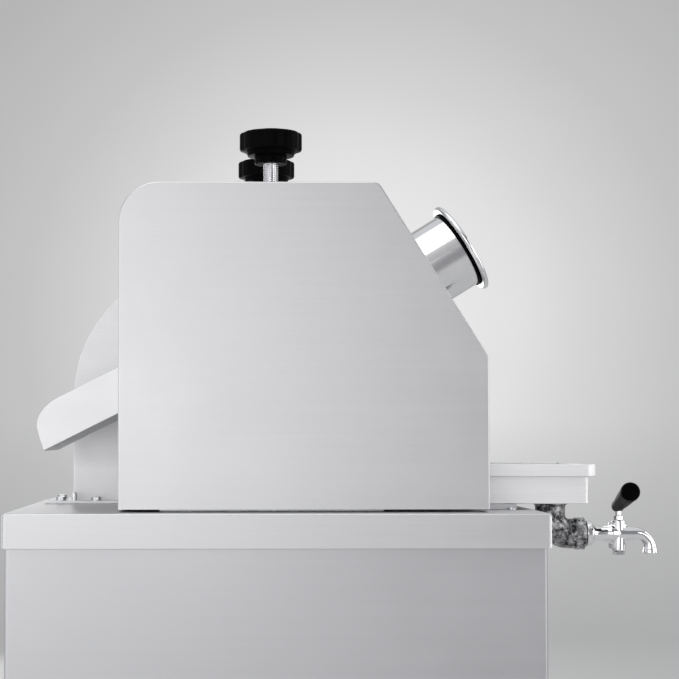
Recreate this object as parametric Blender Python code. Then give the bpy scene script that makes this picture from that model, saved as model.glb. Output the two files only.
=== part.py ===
"""Cabinet sugar cane juicer: a three-roller press under a sheet-metal hood, on a cabinet with castors.

The press stands on the table top, its gear train is in a case behind the hood, and a geared motor
in the cabinet drives it through a belt. Feed end +X, discharge end -X, operator's view along +Y.
"""

import math

import bmesh
import bpy
from mathutils import Matrix, Vector
from mathutils.geometry import tessellate_polygon

MM = 0.001
GAP = 0.3 * MM
PASS = 5 * MM

# Table top: an upturned pan of folded sheet that caps the cabinet
TABLE_Z = 640 * MM
TABLE_X0 = -352 * MM
TABLE_X1 = 198.5 * MM
TABLE_HALF_Y = 195 * MM
TABLE_SKIRT = 35 * MM
TABLE_SHEET = 2.5 * MM
TABLE_EDGE = 4 * MM

# Cabinet
CABINET_X0 = -349 * MM
CABINET_X1 = 195 * MM
CABINET_HALF_Y = 190 * MM
CABINET_WALL = 2.5 * MM
CABINET_EDGE = 4 * MM
FLOOR_Z = 104.3 * MM
FLOOR_THICK = 4 * MM
WALL_FOOT_Z = FLOOR_Z + FLOOR_THICK + GAP

# Door in the feed end of the cabinet
DOOR_HALF_Y = 150 * MM
DOOR_Z0 = 150 * MM
DOOR_Z1 = 520 * MM
DOOR_DEEP = 14 * MM
DOOR_SHEET = 2 * MM
DOOR_PLAY = 1.5 * MM
HINGE_X = 199.3 * MM
HINGE_Y = 154 * MM
HINGE_R = 3.5 * MM
HINGE_LEAF = 1.5 * MM
LATCH_Y = -132 * MM
LATCH_Z = 335 * MM
LATCH_R = 13 * MM

# Vent panel in the discharge end
VENT_HALF_Y = 110 * MM
VENT_Z0 = 250 * MM
VENT_Z1 = 450 * MM
VENT_THICK = 2.2 * MM
VENT_SLOTS = 7

# Controls on the far side
PANEL_X0 = 82 * MM
PANEL_X1 = 172 * MM
PANEL_Z0 = 520 * MM
PANEL_Z1 = 592 * MM
PANEL_THICK = 3 * MM
SELECTOR_X = 105 * MM
STOP_X = 148 * MM
CONTROL_Z = 556 * MM
STOP_TRAVEL = 4 * MM
GLAND_X = -250 * MM
GLAND_Z = 180 * MM

# Press rollers, three of one size, geared together at their far ends
GEAR_MODULE = 4 * MM
ROLLER_TEETH = 21
CENTRE_STEP = GEAR_MODULE * ROLLER_TEETH
ROLLER_R = 41 * MM
FLUTE_DEEP = 1.2 * MM
FLUTES = 24
SHAFT_R = 14 * MM
TOP_X = -81 * MM
TOP_Z = TABLE_Z + 195 * MM
LOWER_DROP = 52 * MM
LOWER_REACH = math.sqrt(CENTRE_STEP**2 - LOWER_DROP**2)
REAR_X = TOP_X - LOWER_REACH
FRONT_X = TOP_X + LOWER_REACH
LOWER_Z = TOP_Z - LOWER_DROP
ROLLER_Y0 = -106 * MM
ROLLER_Y1 = 66 * MM
LIFT = 4 * MM

# Frame plates that carry the rollers
PLATE_THICK = 14 * MM
NEAR_PLATE_Y = -124 * MM
FAR_PLATE_Y = 70 * MM
PLATE_X0 = -196 * MM
PLATE_X1 = 34 * MM
PLATE_SHOULDER_Z = TABLE_Z + 196 * MM
PLATE_TOP_Z = TABLE_Z + 305.7 * MM
NECK_HALF = 48 * MM
FOOT_WIDE = 22 * MM
FOOT_THICK = 8 * MM
BLOCK_HALF = 22 * MM
BLOCK_HALF_Z = 28 * MM
CAP_HALF = 52 * MM
CAP_Z0 = TABLE_Z + 306 * MM
CAP_Z1 = TABLE_Z + 329 * MM
CAP_OVERHANG = 3 * MM

# Pressure screws and their knobs
SCREW_R = 8 * MM
KNOB_FOOT_Z = TABLE_Z + 364 * MM
KNOB_HUB_R = 17 * MM
KNOB_STEP_Z = TABLE_Z + 372 * MM
KNOB_RIM_Z = TABLE_Z + 377.5 * MM
KNOB_R = 32.8 * MM
KNOB_CROWN_Z = TABLE_Z + 395 * MM
KNOB_TOP_Z = TABLE_Z + 398 * MM
KNOB_EDGE = 1.5 * MM
KNOB_LOBE = 3.2 * MM
KNOB_LOBES = 8
KNOB_BORE_Z = TABLE_Z + 388 * MM
# The far knob is screwed less far down its stud than the near one.
FAR_KNOB_RAISE = 3 * MM

# Hood
HOOD_X0 = -238 * MM
HOOD_X1 = 141 * MM
HOOD_Y0 = -165 * MM
HOOD_Y1 = 92 * MM
HOOD_Z0 = TABLE_Z + 3 * MM
HOOD_Z1 = TABLE_Z + 338.3 * MM
HOOD_SHEET = 2 * MM
SLANT_TOP_X = 28.5 * MM
SLANT_FOOT_Z = TABLE_Z + 159 * MM
HOOD_REAR_R = 41 * MM
HOOD_FRONT_R = 10 * MM

# Feed tube
MOUTH_X = 136 * MM
MOUTH_Z = TABLE_Z + 289 * MM
PRESS_Y = -20 * MM
FEED_ANGLE = math.radians(32)
FEED_R = 43.5 * MM
FEED_WALL = 2 * MM
FEED_LIP_R = 52.8 * MM
FEED_LIP = 6 * MM
FEED_LENGTH = 128 * MM

# Discharge chute
CHUTE_Y0 = -92.5 * MM
CHUTE_Y1 = 52.5 * MM
CHUTE_SHEET = 2.5 * MM
CHUTE_INNER_X = -190 * MM
CHUTE_TIP_X = -321.7 * MM
CHUTE_TIP_Z = TABLE_Z + 61.8 * MM
CHUTE_ANGLE = math.radians(26.7)
CHUTE_SIDE = 44.2 * MM
CHUTE_NOSE_X = -331.5 * MM
CHUTE_NOSE_Z = TABLE_Z + 93 * MM
CHUTE_NOSE_R = 24 * MM
CHUTE_TOP_X = -318 * MM
CHUTE_TOP_Z = TABLE_Z + 113.2 * MM
CHUTE_TOP_R = 45 * MM

# Gear case behind the hood
CASE_X0 = -307.6 * MM
CASE_X1 = 60 * MM
CASE_R = 152.6 * MM
CASE_TOP_Z = TABLE_Z + 279.3 * MM
CASE_Y0 = 100 * MM
CASE_Y1 = 178 * MM
CASE_SHEET = 2.5 * MM
CASE_CORNER_R = 40 * MM
CASE_FLANGE = 30 * MM
CASE_FLANGE_THICK = 3 * MM
CASE_FLANGE_NEAR = 36 * MM

# Gear train in the case
ROLLER_GEAR_Y0 = 106 * MM
ROLLER_GEAR_Y1 = 124 * MM
BULL_Y0 = 128 * MM
BULL_Y1 = 146 * MM
BULL_MODULE = 3 * MM
BULL_TEETH = 60
PINION_TEETH = 15
PINION_ANGLE = math.radians(-36)
PINION_STEP = BULL_MODULE * (BULL_TEETH + PINION_TEETH) / 2
JACK_X = REAR_X + PINION_STEP * math.cos(PINION_ANGLE)
JACK_Z = LOWER_Z + PINION_STEP * math.sin(PINION_ANGLE)
JACK_R = 10 * MM
JACK_BEARING_R = 28 * MM

# Belt drive from the motor
BELT_Y0 = 156 * MM
BELT_Y1 = 166 * MM
BELT_HALF_THICK = 3.5 * MM
DRIVEN_PITCH_R = 66 * MM
DRIVER_PITCH_R = 22 * MM
PULLEY_FLANGE = 6 * MM
GROOVE_ROOM = 1 * MM
PULLEY_Y0 = 151 * MM
PULLEY_Y1 = 171 * MM

# Geared motor in the cabinet
MOTOR_X = JACK_X
MOTOR_Z = 200 * MM
MOTOR_R = 62 * MM
MOTOR_FIN = 5 * MM
MOTOR_FINS = 24
MOTOR_Y0 = -110 * MM
MOTOR_Y1 = 38 * MM
MOTOR_SHAFT_R = 9 * MM
GEARBOX_Y1 = 118 * MM

# Juice tray, its guide and strainer
TRAY_X0 = -200 * MM
TRAY_X1 = 257.7 * MM
TRAY_Y0 = -100 * MM
TRAY_Y1 = 60 * MM
TRAY_Z0 = TABLE_Z + 6 * MM
TRAY_RIM_Z = TABLE_Z + 35 * MM
TRAY_Z1 = TABLE_Z + 48 * MM
TRAY_RIM = 8 * MM
TRAY_SHEET = 2 * MM
RAIL_WIDE = 10 * MM
RAIL_X1 = 180 * MM

# Drain elbow and tap
DRAIN_X = 231 * MM
PIPE_R = 16.5 * MM
PIPE_BORE = 9 * MM
DRAIN_Z = TABLE_Z - 30 * MM
BEND_R = 20 * MM
COLLAR_R = 17.6 * MM
ELBOW_X1 = 269 * MM
TAP_FLANGE_X = 277 * MM
TAP_FLANGE_R = 14.5 * MM
TAP_NECK_R = 9.75 * MM
BARREL_X = 307 * MM
BARREL_R = 7.4 * MM
BARREL_Z0 = TABLE_Z - 49.5 * MM
BARREL_Z1 = TABLE_Z - 15 * MM
WEB_HALF = 4 * MM
WEB_REACH = 18 * MM
PLUG_R = 4.5 * MM
SPOUT_X = 342 * MM
SPOUT_Z = TABLE_Z - 52 * MM
SPOUT_R = 8.3 * MM
LEVER_TILT = math.radians(14)
LEVER_YAW = math.radians(3)
LEVER_LENGTH = 76 * MM
LEVER_HEEL = 7 * MM
LEVER_BASE_R = 7 * MM
LEVER_END_R = 10.3 * MM
LEVER_Z = TABLE_Z + 1 * MM
PIN_R = 3.4 * MM
CAP_R = 5.3 * MM

# Castors
CASTOR_X = (-310 * MM, 156 * MM)
CASTOR_Y = (-150 * MM, 150 * MM)
CASTOR_PAD = 34 * MM
CASTOR_PAD_THICK = 5 * MM
WHEEL_R = 37.5 * MM
WHEEL_HALF = 12 * MM
TRAIL = 18 * MM
AXLE_R = 4 * MM
FORK_HALF = 18 * MM
FORK_INSIDE = 14 * MM
FORK_TOP_Z = FLOOR_Z - CASTOR_PAD_THICK - GAP
FORK_CROWN_Z = 82 * MM

FINISHES = {
    "stainless": ((0.62, 0.62, 0.64), 0.3, 1.0),
    "bright": ((0.8, 0.8, 0.8), 0.15, 1.0),
    "chrome": ((0.85, 0.85, 0.86), 0.06, 1.0),
    "steel": ((0.45, 0.46, 0.48), 0.35, 1.0),
    "cast": ((0.07, 0.07, 0.075), 0.55, 0.6),
    "paint": ((0.12, 0.2, 0.32), 0.45, 0.0),
    "rubber": ((0.02, 0.02, 0.02), 0.8, 0.0),
    "black": ((0.012, 0.012, 0.012), 0.35, 0.0),
    "red": ((0.6, 0.02, 0.02), 0.4, 0.0),
}
SMOOTH_ANGLE = math.radians(32)


def clear_scene():
    for item in list(bpy.data.objects):
        bpy.data.objects.remove(item)


def finish_of(name, finish):
    colour, roughness, metallic = FINISHES[finish]
    material = bpy.data.materials.new(f"{name}_finish")
    material.use_nodes = True
    shader = material.node_tree.nodes["Principled BSDF"]
    shader.inputs["Base Color"].default_value = (*colour, 1)
    shader.inputs["Roughness"].default_value = roughness
    shader.inputs["Metallic"].default_value = metallic
    return material


def place(name, shape, pivot=(0, 0, 0)):
    """An object of this shape, which is in world coordinates, with its origin at the pivot."""
    bmesh.ops.translate(shape, vec=-Vector(pivot), verts=shape.verts)
    bmesh.ops.recalc_face_normals(shape, faces=shape.faces)
    mesh = bpy.data.meshes.new(name)
    shape.to_mesh(mesh)
    shape.free()
    mesh.shade_smooth()
    mesh.set_sharp_from_angle(angle=SMOOTH_ANGLE)
    item = bpy.data.objects.new(name, mesh)
    item.location = pivot
    bpy.context.scene.collection.objects.link(item)
    return item


def part(name, shape, finish, pivot=(0, 0, 0)):
    item = place(name, shape, pivot)
    item.data.materials.append(finish_of(name, finish))
    return item


def combine(item, shape, operation):
    """Adds a Boolean with a hidden helper of this shape."""
    helper = place(f"{item.name}_{operation.lower()}", shape)
    helper.hide_render = True
    helper.display_type = "WIRE"
    modifier = item.modifiers.new(operation.title(), "BOOLEAN")
    modifier.operation = operation
    modifier.solver = "EXACT"
    modifier.object = helper


def cut(item, shape):
    combine(item, shape, "DIFFERENCE")


def fuse(item, shape):
    combine(item, shape, "UNION")


def bevel(item, width, segments=2, angle=50):
    modifier = item.modifiers.new("Bevel", "BEVEL")
    modifier.width = width
    modifier.segments = segments
    modifier.limit_method = "ANGLE"
    modifier.angle_limit = math.radians(angle)


def circle(centre_u, centre_v, radius, steps=24):
    """A round outline, as points of a plane."""
    turns = [math.tau * step / steps for step in range(steps)]
    return [
        (centre_u + radius * math.cos(turn), centre_v + radius * math.sin(turn))
        for turn in turns
    ]


def rectangle(u0, u1, v0, v1):
    return [(u0, v0), (u1, v0), (u1, v1), (u0, v1)]


def rounded(corners, steps=6):
    """An outline through corners (u, v, radius), each with an arc of its radius."""
    outline = []
    for index, (u, v, radius) in enumerate(corners):
        corner = Vector((u, v))
        if radius == 0:
            outline.append((u, v))
            continue
        before = Vector(corners[index - 1][:2]) - corner
        after = Vector(corners[(index + 1) % len(corners)][:2]) - corner
        before.normalize()
        after.normalize()
        half = before.angle(after) / 2
        centre = corner + (before + after).normalized() * (radius / math.sin(half))
        start = corner + before * (radius / math.tan(half)) - centre
        end = corner + after * (radius / math.tan(half)) - centre
        first = math.atan2(start.y, start.x)
        sweep = math.remainder(math.atan2(end.y, end.x) - first, math.tau)
        for step in range(steps + 1):
            turn = first + sweep * step / steps
            outline.append((centre.x + radius * math.cos(turn), centre.y + radius * math.sin(turn)))
    return outline


def rounded_rectangle(u0, u1, v0, v1, radius, steps=3):
    return rounded([(u0, v0, radius), (u1, v0, radius), (u1, v1, radius), (u0, v1, radius)], steps)


def prism(axis, low, high, outline, holes=()):
    """An outline, with any holes, extruded along one world axis."""
    corner = {
        "X": lambda u, v, t: (t, u, v),
        "Y": lambda u, v, t: (u, t, v),
        "Z": lambda u, v, t: (u, v, t),
    }[axis]
    shape = bmesh.new()
    loops = [outline, *holes]
    points = [point for loop in loops for point in loop]
    bottom = [shape.verts.new(corner(u, v, low)) for u, v in points]
    top = [shape.verts.new(corner(u, v, high)) for u, v in points]
    if holes:
        flat = [[Vector((u, v, 0)) for u, v in loop] for loop in loops]
        caps = tessellate_polygon(flat)
    else:
        caps = [range(len(points))]
    for cap in caps:
        shape.faces.new([bottom[index] for index in cap])
        shape.faces.new([top[index] for index in reversed(cap)])
    start = 0
    for loop in loops:
        for index in range(len(loop)):
            here = start + index
            following = start + (index + 1) % len(loop)
            shape.faces.new((bottom[here], bottom[following], top[following], top[here]))
        start += len(loop)
    return shape


def box(x0, x1, y0, y1, z0, z1):
    return prism("Z", z0, z1, rectangle(x0, x1, y0, y1))


def aimed(shape, origin, direction):
    """The shape with its local +Z turned to a direction and its zero moved to an origin."""
    turn = Vector((0, 0, 1)).rotation_difference(Vector(direction)).to_matrix().to_4x4()
    bmesh.ops.transform(shape, matrix=Matrix.Translation(origin) @ turn, verts=shape.verts)
    return shape


def turned(profile, origin, direction, steps=24, closed=True):
    """A profile of (radius, height) spun about an axis, as a ring or between two points on the axis."""
    shape = bmesh.new()
    points = [shape.verts.new((radius, 0, height)) for radius, height in profile]
    edges = [shape.edges.new(pair) for pair in zip(points, points[1:])]
    if closed:
        edges.append(shape.edges.new((points[-1], points[0])))
    bmesh.ops.spin(
        shape,
        geom=points + edges,
        axis=(0, 0, 1),
        cent=(0, 0, 0),
        angle=math.tau,
        steps=steps,
        use_merge=True,
    )
    bmesh.ops.remove_doubles(shape, verts=shape.verts, dist=MM / 1000)
    return aimed(shape, origin, direction)


def rod(radius, origin, direction, length, steps=24):
    profile = [(0, 0), (radius, 0), (radius, length), (0, length)]
    return turned(profile, origin, direction, steps, closed=False)


def lofted(rings, closed=False):
    """A skin over rings of points, closed on itself or capped at both ends."""
    shape = bmesh.new()
    loops = [[shape.verts.new(point) for point in ring] for ring in rings]
    pairs = list(zip(loops, loops[1:]))
    if closed:
        pairs.append((loops[-1], loops[0]))
    else:
        shape.faces.new(loops[0])
        shape.faces.new(reversed(loops[-1]))
    for one, other in pairs:
        for index in range(len(one)):
            following = (index + 1) % len(one)
            shape.faces.new((one[index], one[following], other[following], other[index]))
    return shape


def ring_about(centre, direction, radius, steps=16):
    """A round section of a pipe whose path stays in a plane square to Y."""
    side = Vector((0, 1, 0))
    up = Vector(direction).normalized().cross(side)
    points = circle(0, 0, radius, steps)
    return [Vector(centre) + side * u + up * v for u, v in points]


def involute(angle):
    return math.tan(angle) - angle


def gear_outline(module, teeth, centre, phase):
    """A spur gear's outline, 20 degrees of pressure angle, with a tooth centred on the phase."""
    pressure = math.radians(20)
    pitch_r = module * teeth / 2
    base_r = pitch_r * math.cos(pressure)
    play = 0.05 * module / pitch_r
    half_pitch = math.pi / (2 * teeth) - play
    flanks = []
    for radius in (pitch_r - 1.2 * module, pitch_r + 0.9 * module):
        here = math.acos(min(1, base_r / radius))
        half = half_pitch + involute(pressure) - involute(here)
        flanks.append((radius, half))
    outline = []
    for tooth in range(teeth):
        middle = phase + math.tau * tooth / teeth
        sides = [(radius, middle - half) for radius, half in flanks]
        sides += [(radius, middle + half) for radius, half in reversed(flanks)]
        outline += [
            (centre[0] + radius * math.cos(turn), centre[1] + radius * math.sin(turn))
            for radius, turn in sides
        ]
    return outline


def meshing_phase(driver, driver_phase, driver_teeth, driven, driven_teeth):
    """The phase that puts a gap of the driven gear on a tooth of the driver."""
    line = math.atan2(driven[1] - driver[1], driven[0] - driver[0])
    offset = math.remainder(line - driver_phase, math.tau / driver_teeth)
    return line + math.pi + offset * driver_teeth / driven_teeth + math.pi / driven_teeth


def make_table():
    outline = rounded_rectangle(TABLE_X0, TABLE_X1, -TABLE_HALF_Y, TABLE_HALF_Y, TABLE_EDGE)
    skirt_z = TABLE_Z - TABLE_SKIRT
    table = part("table_top", prism("Z", skirt_z - PASS, TABLE_Z, outline), "stainless")
    bevel(table, TABLE_EDGE / 2, segments=3)
    cut(table, box(TABLE_X0 - PASS, TABLE_X1 + PASS, -1, 1, skirt_z - 2 * PASS, skirt_z))
    inner_x0 = TABLE_X0 + TABLE_SHEET
    inner_x1 = TABLE_X1 - TABLE_SHEET
    inner_y = TABLE_HALF_Y - TABLE_SHEET
    under_z = TABLE_Z - TABLE_SHEET
    cut(table, box(inner_x0, inner_x1, -inner_y, inner_y, skirt_z - PASS, under_z))
    slot_half = DRIVEN_PITCH_R + PULLEY_FLANGE
    slot = box(
        JACK_X - slot_half,
        JACK_X + slot_half,
        PULLEY_Y0,
        PULLEY_Y1,
        under_z - PASS,
        TABLE_Z + PASS,
    )
    cut(table, slot)


def make_cabinet():
    top_z = TABLE_Z - TABLE_SHEET - GAP
    outer = rounded_rectangle(
        CABINET_X0, CABINET_X1, -CABINET_HALF_Y, CABINET_HALF_Y, CABINET_EDGE
    )
    inner = rounded_rectangle(
        CABINET_X0 + CABINET_WALL,
        CABINET_X1 - CABINET_WALL,
        -CABINET_HALF_Y + CABINET_WALL,
        CABINET_HALF_Y - CABINET_WALL,
        CABINET_EDGE - CABINET_WALL,
    )
    walls = part("cabinet_body", prism("Z", WALL_FOOT_Z, top_z, outer, [inner]), "stainless")
    doorway = box(
        CABINET_X1 - 2 * CABINET_WALL,
        CABINET_X1 + PASS,
        -DOOR_HALF_Y - DOOR_PLAY,
        DOOR_HALF_Y + DOOR_PLAY,
        DOOR_Z0 - DOOR_PLAY,
        DOOR_Z1 + DOOR_PLAY,
    )
    cut(walls, doorway)
    window = box(
        CABINET_X0 - PASS,
        CABINET_X0 + 2 * CABINET_WALL,
        -VENT_HALF_Y + 2 * PASS,
        VENT_HALF_Y - 2 * PASS,
        VENT_Z0 + 2 * PASS,
        VENT_Z1 - 2 * PASS,
    )
    cut(walls, window)
    stem_way = (STOP_X, CABINET_HALF_Y - 2 * CABINET_WALL, CONTROL_Z)
    cut(walls, rod(2 * PASS, stem_way, (0, 1, 0), 3 * CABINET_WALL, 16))
    cord_way = (GLAND_X, CABINET_HALF_Y - 2 * CABINET_WALL, GLAND_Z)
    cut(walls, rod(PASS, cord_way, (0, 1, 0), 3 * CABINET_WALL, 16))


def make_floor():
    base = part(
        "cabinet_floor",
        prism(
            "Z",
            FLOOR_Z,
            FLOOR_Z + FLOOR_THICK,
            rounded_rectangle(
                CABINET_X0, CABINET_X1, -CABINET_HALF_Y, CABINET_HALF_Y, CABINET_EDGE
            ),
        ),
        "stainless",
    )
    for x in CASTOR_X:
        for y in CASTOR_Y:
            pad = rounded_rectangle(
                x - CASTOR_PAD, x + CASTOR_PAD, y - CASTOR_PAD, y + CASTOR_PAD, PASS
            )
            pad_z = FLOOR_Z - CASTOR_PAD_THICK
            fuse(base, prism("Z", pad_z, FLOOR_Z + FLOOR_THICK / 2, pad))


def make_door():
    outer_x = CABINET_X1
    pivot = (HINGE_X, HINGE_Y, (DOOR_Z0 + DOOR_Z1) / 2)
    panel = box(outer_x - DOOR_DEEP, outer_x, -DOOR_HALF_Y, DOOR_HALF_Y, DOOR_Z0, DOOR_Z1)
    door = part("cabinet_door", panel, "stainless", pivot)
    hollow = box(
        outer_x - DOOR_DEEP - PASS,
        outer_x - DOOR_SHEET,
        -DOOR_HALF_Y + DOOR_SHEET,
        DOOR_HALF_Y - DOOR_SHEET,
        DOOR_Z0 + DOOR_SHEET,
        DOOR_Z1 - DOOR_SHEET,
    )
    cut(door, hollow)
    leaf = box(
        outer_x - DOOR_SHEET / 2,
        outer_x + HINGE_LEAF,
        DOOR_HALF_Y - 4 * PASS,
        HINGE_Y - HINGE_R - GAP,
        DOOR_Z0 + PASS,
        DOOR_Z1 - PASS,
    )
    fuse(door, leaf)
    spindle_hole = rod(
        LATCH_R / 2 + GAP, (outer_x - DOOR_DEEP, LATCH_Y, LATCH_Z), (1, 0, 0), 2 * DOOR_DEEP, 16
    )
    cut(door, spindle_hole)

    barrel = rod(
        HINGE_R, (HINGE_X, HINGE_Y, DOOR_Z0 + PASS), (0, 0, 1), DOOR_Z1 - DOOR_Z0 - 2 * PASS, 16
    )
    hinge = part("door_hinge", barrel, "steel", pivot)
    fixed_leaf = box(
        outer_x + GAP,
        outer_x + GAP + HINGE_LEAF,
        HINGE_Y,
        HINGE_Y + 5 * PASS,
        DOOR_Z0 + PASS,
        DOOR_Z1 - PASS,
    )
    fuse(hinge, fixed_leaf)


def make_latch():
    """A quarter-turn latch: a round head with a grip, a spindle through the door and a cam behind."""
    face_x = CABINET_X1 + GAP
    pivot = (face_x, LATCH_Y, LATCH_Z)
    cam_x = CABINET_X1 - CABINET_WALL - GAP - DOOR_DEEP
    cam = box(
        cam_x - PASS,
        cam_x,
        LATCH_Y - LATCH_R * 0.6,
        LATCH_Y + LATCH_R * 0.6,
        LATCH_Z - LATCH_R * 0.6,
        LATCH_Z + 6 * PASS,
    )
    latch = part("door_latch", cam, "chrome", pivot)
    reach = face_x - cam_x
    profile = [
        (0, -PASS / 2),
        (LATCH_R / 2, -PASS / 2),
        (LATCH_R / 2, reach),
        (LATCH_R, reach),
        (LATCH_R, reach + PASS),
        (0, reach + PASS),
    ]
    fuse(latch, turned(profile, (cam_x, LATCH_Y, LATCH_Z), (1, 0, 0), 20, closed=False))
    grip = box(
        face_x + PASS / 2,
        face_x + 3 * PASS,
        LATCH_Y - LATCH_R / 4,
        LATCH_Y + LATCH_R / 4,
        LATCH_Z - LATCH_R * 0.9,
        LATCH_Z + LATCH_R * 0.9,
    )
    fuse(latch, grip)


def make_vent_panel():
    slot_step = (VENT_Z1 - VENT_Z0 - 8 * PASS) / VENT_SLOTS
    slots = []
    for index in range(VENT_SLOTS):
        low = VENT_Z0 + 4 * PASS + slot_step * (index + 0.25)
        slots.append(
            rectangle(-VENT_HALF_Y + 5 * PASS, VENT_HALF_Y - 5 * PASS, low, low + slot_step / 2)
        )
    outline = rounded_rectangle(-VENT_HALF_Y, VENT_HALF_Y, VENT_Z0, VENT_Z1, PASS)
    face_x = CABINET_X0 - GAP
    part("vent_panel", prism("X", face_x - VENT_THICK, face_x, outline, slots), "stainless")


def make_controls():
    """The switch panel on the far wall, with a selector and a mushroom stop button, and the cord inlet."""
    wall_y = CABINET_HALF_Y + GAP
    face_y = wall_y + PANEL_THICK
    outline = rounded_rectangle(PANEL_X0, PANEL_X1, PANEL_Z0, PANEL_Z1, PASS)
    stem_hole = circle(STOP_X, CONTROL_Z, PASS + GAP, 16)
    part("control_panel", prism("Y", wall_y, face_y, outline, [stem_hole]), "black")

    selector = (SELECTOR_X, face_y + GAP, CONTROL_Z)
    knob = part("selector_knob", rod(3 * PASS, selector, (0, 1, 0), PASS), "black", selector)
    handle = box(
        SELECTOR_X - PASS / 2,
        SELECTOR_X + PASS / 2,
        face_y + PASS / 2,
        face_y + 2.4 * PASS,
        CONTROL_Z - 2.6 * PASS,
        CONTROL_Z + 2.6 * PASS,
    )
    fuse(knob, handle)

    stop = (STOP_X, face_y + GAP + STOP_TRAVEL, CONTROL_Z)
    stem = STOP_TRAVEL + PANEL_THICK + PASS
    profile = [
        (0, -stem),
        (PASS, -stem),
        (PASS, 0),
        (3.6 * PASS, 0.5 * PASS),
        (3.6 * PASS, PASS),
        (2.4 * PASS, 1.6 * PASS),
        (0, 1.8 * PASS),
    ]
    part("stop_button", turned(profile, stop, (0, 1, 0), 20, closed=False), "red", stop)

    gland = (GLAND_X, wall_y, GLAND_Z)
    nut = [
        (PASS, 0),
        (3.2 * PASS, 0),
        (3.2 * PASS, PASS),
        (2.4 * PASS, PASS),
        (2.4 * PASS, 2 * PASS),
        (1.8 * PASS, 2.6 * PASS),
        (PASS, 2.6 * PASS),
    ]
    part("cord_gland", turned(nut, gland, (0, 1, 0), 16), "black")


def make_motor():
    fins = []
    for index in range(2 * MOTOR_FINS):
        turn = math.tau * index / (2 * MOTOR_FINS)
        radius = MOTOR_R - MOTOR_FIN * (index % 2)
        fins.append((MOTOR_X + radius * math.cos(turn), MOTOR_Z + radius * math.sin(turn)))
    motor = part("motor_body", prism("Y", MOTOR_Y0, MOTOR_Y1, fins), "paint")
    foot = box(
        MOTOR_X - MOTOR_R,
        MOTOR_X + MOTOR_R,
        MOTOR_Y0 + 4 * PASS,
        MOTOR_Y1 - 4 * PASS,
        WALL_FOOT_Z,
        WALL_FOOT_Z + 2 * PASS,
    )
    fuse(motor, foot)
    saddle = box(
        MOTOR_X - MOTOR_R / 2,
        MOTOR_X + MOTOR_R / 2,
        MOTOR_Y0 + 6 * PASS,
        MOTOR_Y1 - 6 * PASS,
        WALL_FOOT_Z + PASS,
        MOTOR_Z - MOTOR_R / 2,
    )
    fuse(motor, saddle)
    terminal_box = box(
        MOTOR_X - 7 * PASS,
        MOTOR_X + 7 * PASS,
        MOTOR_Y0 + 8 * PASS,
        MOTOR_Y1 - 6 * PASS,
        MOTOR_Z + MOTOR_R / 2,
        MOTOR_Z + MOTOR_R + 4 * PASS,
    )
    fuse(motor, terminal_box)

    cowl = [
        (0, 0),
        (MOTOR_R * 0.7, 0),
        (MOTOR_R * 0.94, PASS),
        (MOTOR_R * 0.94, 7 * PASS),
        (0, 7 * PASS),
    ]
    cowl_start = (MOTOR_X, MOTOR_Y0 - GAP - 7 * PASS, MOTOR_Z)
    part("motor_fan_cover", turned(cowl, cowl_start, (0, 1, 0), 28, closed=False), "paint")

    case_length = GEARBOX_Y1 - MOTOR_Y1 - GAP
    bore = MOTOR_SHAFT_R + GAP
    case = [
        (0, 0),
        (MOTOR_R, 0),
        (MOTOR_R, 2 * PASS),
        (MOTOR_R * 0.86, 3 * PASS),
        (MOTOR_R * 0.8, case_length - 4 * PASS),
        (MOTOR_R * 0.4, case_length - 2 * PASS),
        (MOTOR_R * 0.36, case_length),
        (bore, case_length),
        (bore, case_length - 4 * PASS),
        (0, case_length - 4 * PASS),
    ]
    case_start = (MOTOR_X, MOTOR_Y1 + GAP, MOTOR_Z)
    gearbox = part(
        "motor_gearbox", turned(case, case_start, (0, 1, 0), 28, closed=False), "cast"
    )
    gearbox_foot = box(
        MOTOR_X - MOTOR_R,
        MOTOR_X + MOTOR_R,
        MOTOR_Y1 + 2 * PASS,
        GEARBOX_Y1 - 4 * PASS,
        WALL_FOOT_Z,
        WALL_FOOT_Z + 2 * PASS,
    )
    fuse(gearbox, gearbox_foot)
    pedestal = box(
        MOTOR_X - MOTOR_R / 2,
        MOTOR_X + MOTOR_R / 2,
        MOTOR_Y1 + 3 * PASS,
        GEARBOX_Y1 - 5 * PASS,
        WALL_FOOT_Z + PASS,
        MOTOR_Z - MOTOR_R / 2,
    )
    fuse(gearbox, pedestal)


def pulley_profile(pitch_r, bore_r, shaft_y0=None):
    """Half a pulley with its belt groove, from PULLEY_Y0; a solid hub and shaft, or a bore."""
    flange_r = pitch_r + PULLEY_FLANGE
    groove_r = pitch_r - BELT_HALF_THICK - GROOVE_ROOM
    groove_y0 = BELT_Y0 - PULLEY_Y0 - GAP
    groove_y1 = BELT_Y1 - PULLEY_Y0 + GAP
    wide = PULLEY_Y1 - PULLEY_Y0
    rim = [
        (flange_r, 0),
        (flange_r, groove_y0),
        (groove_r, groove_y0),
        (groove_r, groove_y1),
        (flange_r, groove_y1),
        (flange_r, wide),
    ]
    if shaft_y0 is None:
        return [(bore_r, 0), *rim, (bore_r, wide)]
    shaft = shaft_y0 - PULLEY_Y0
    return [(0, shaft), (bore_r, shaft), (bore_r, 0), *rim, (0, wide)]


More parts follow.
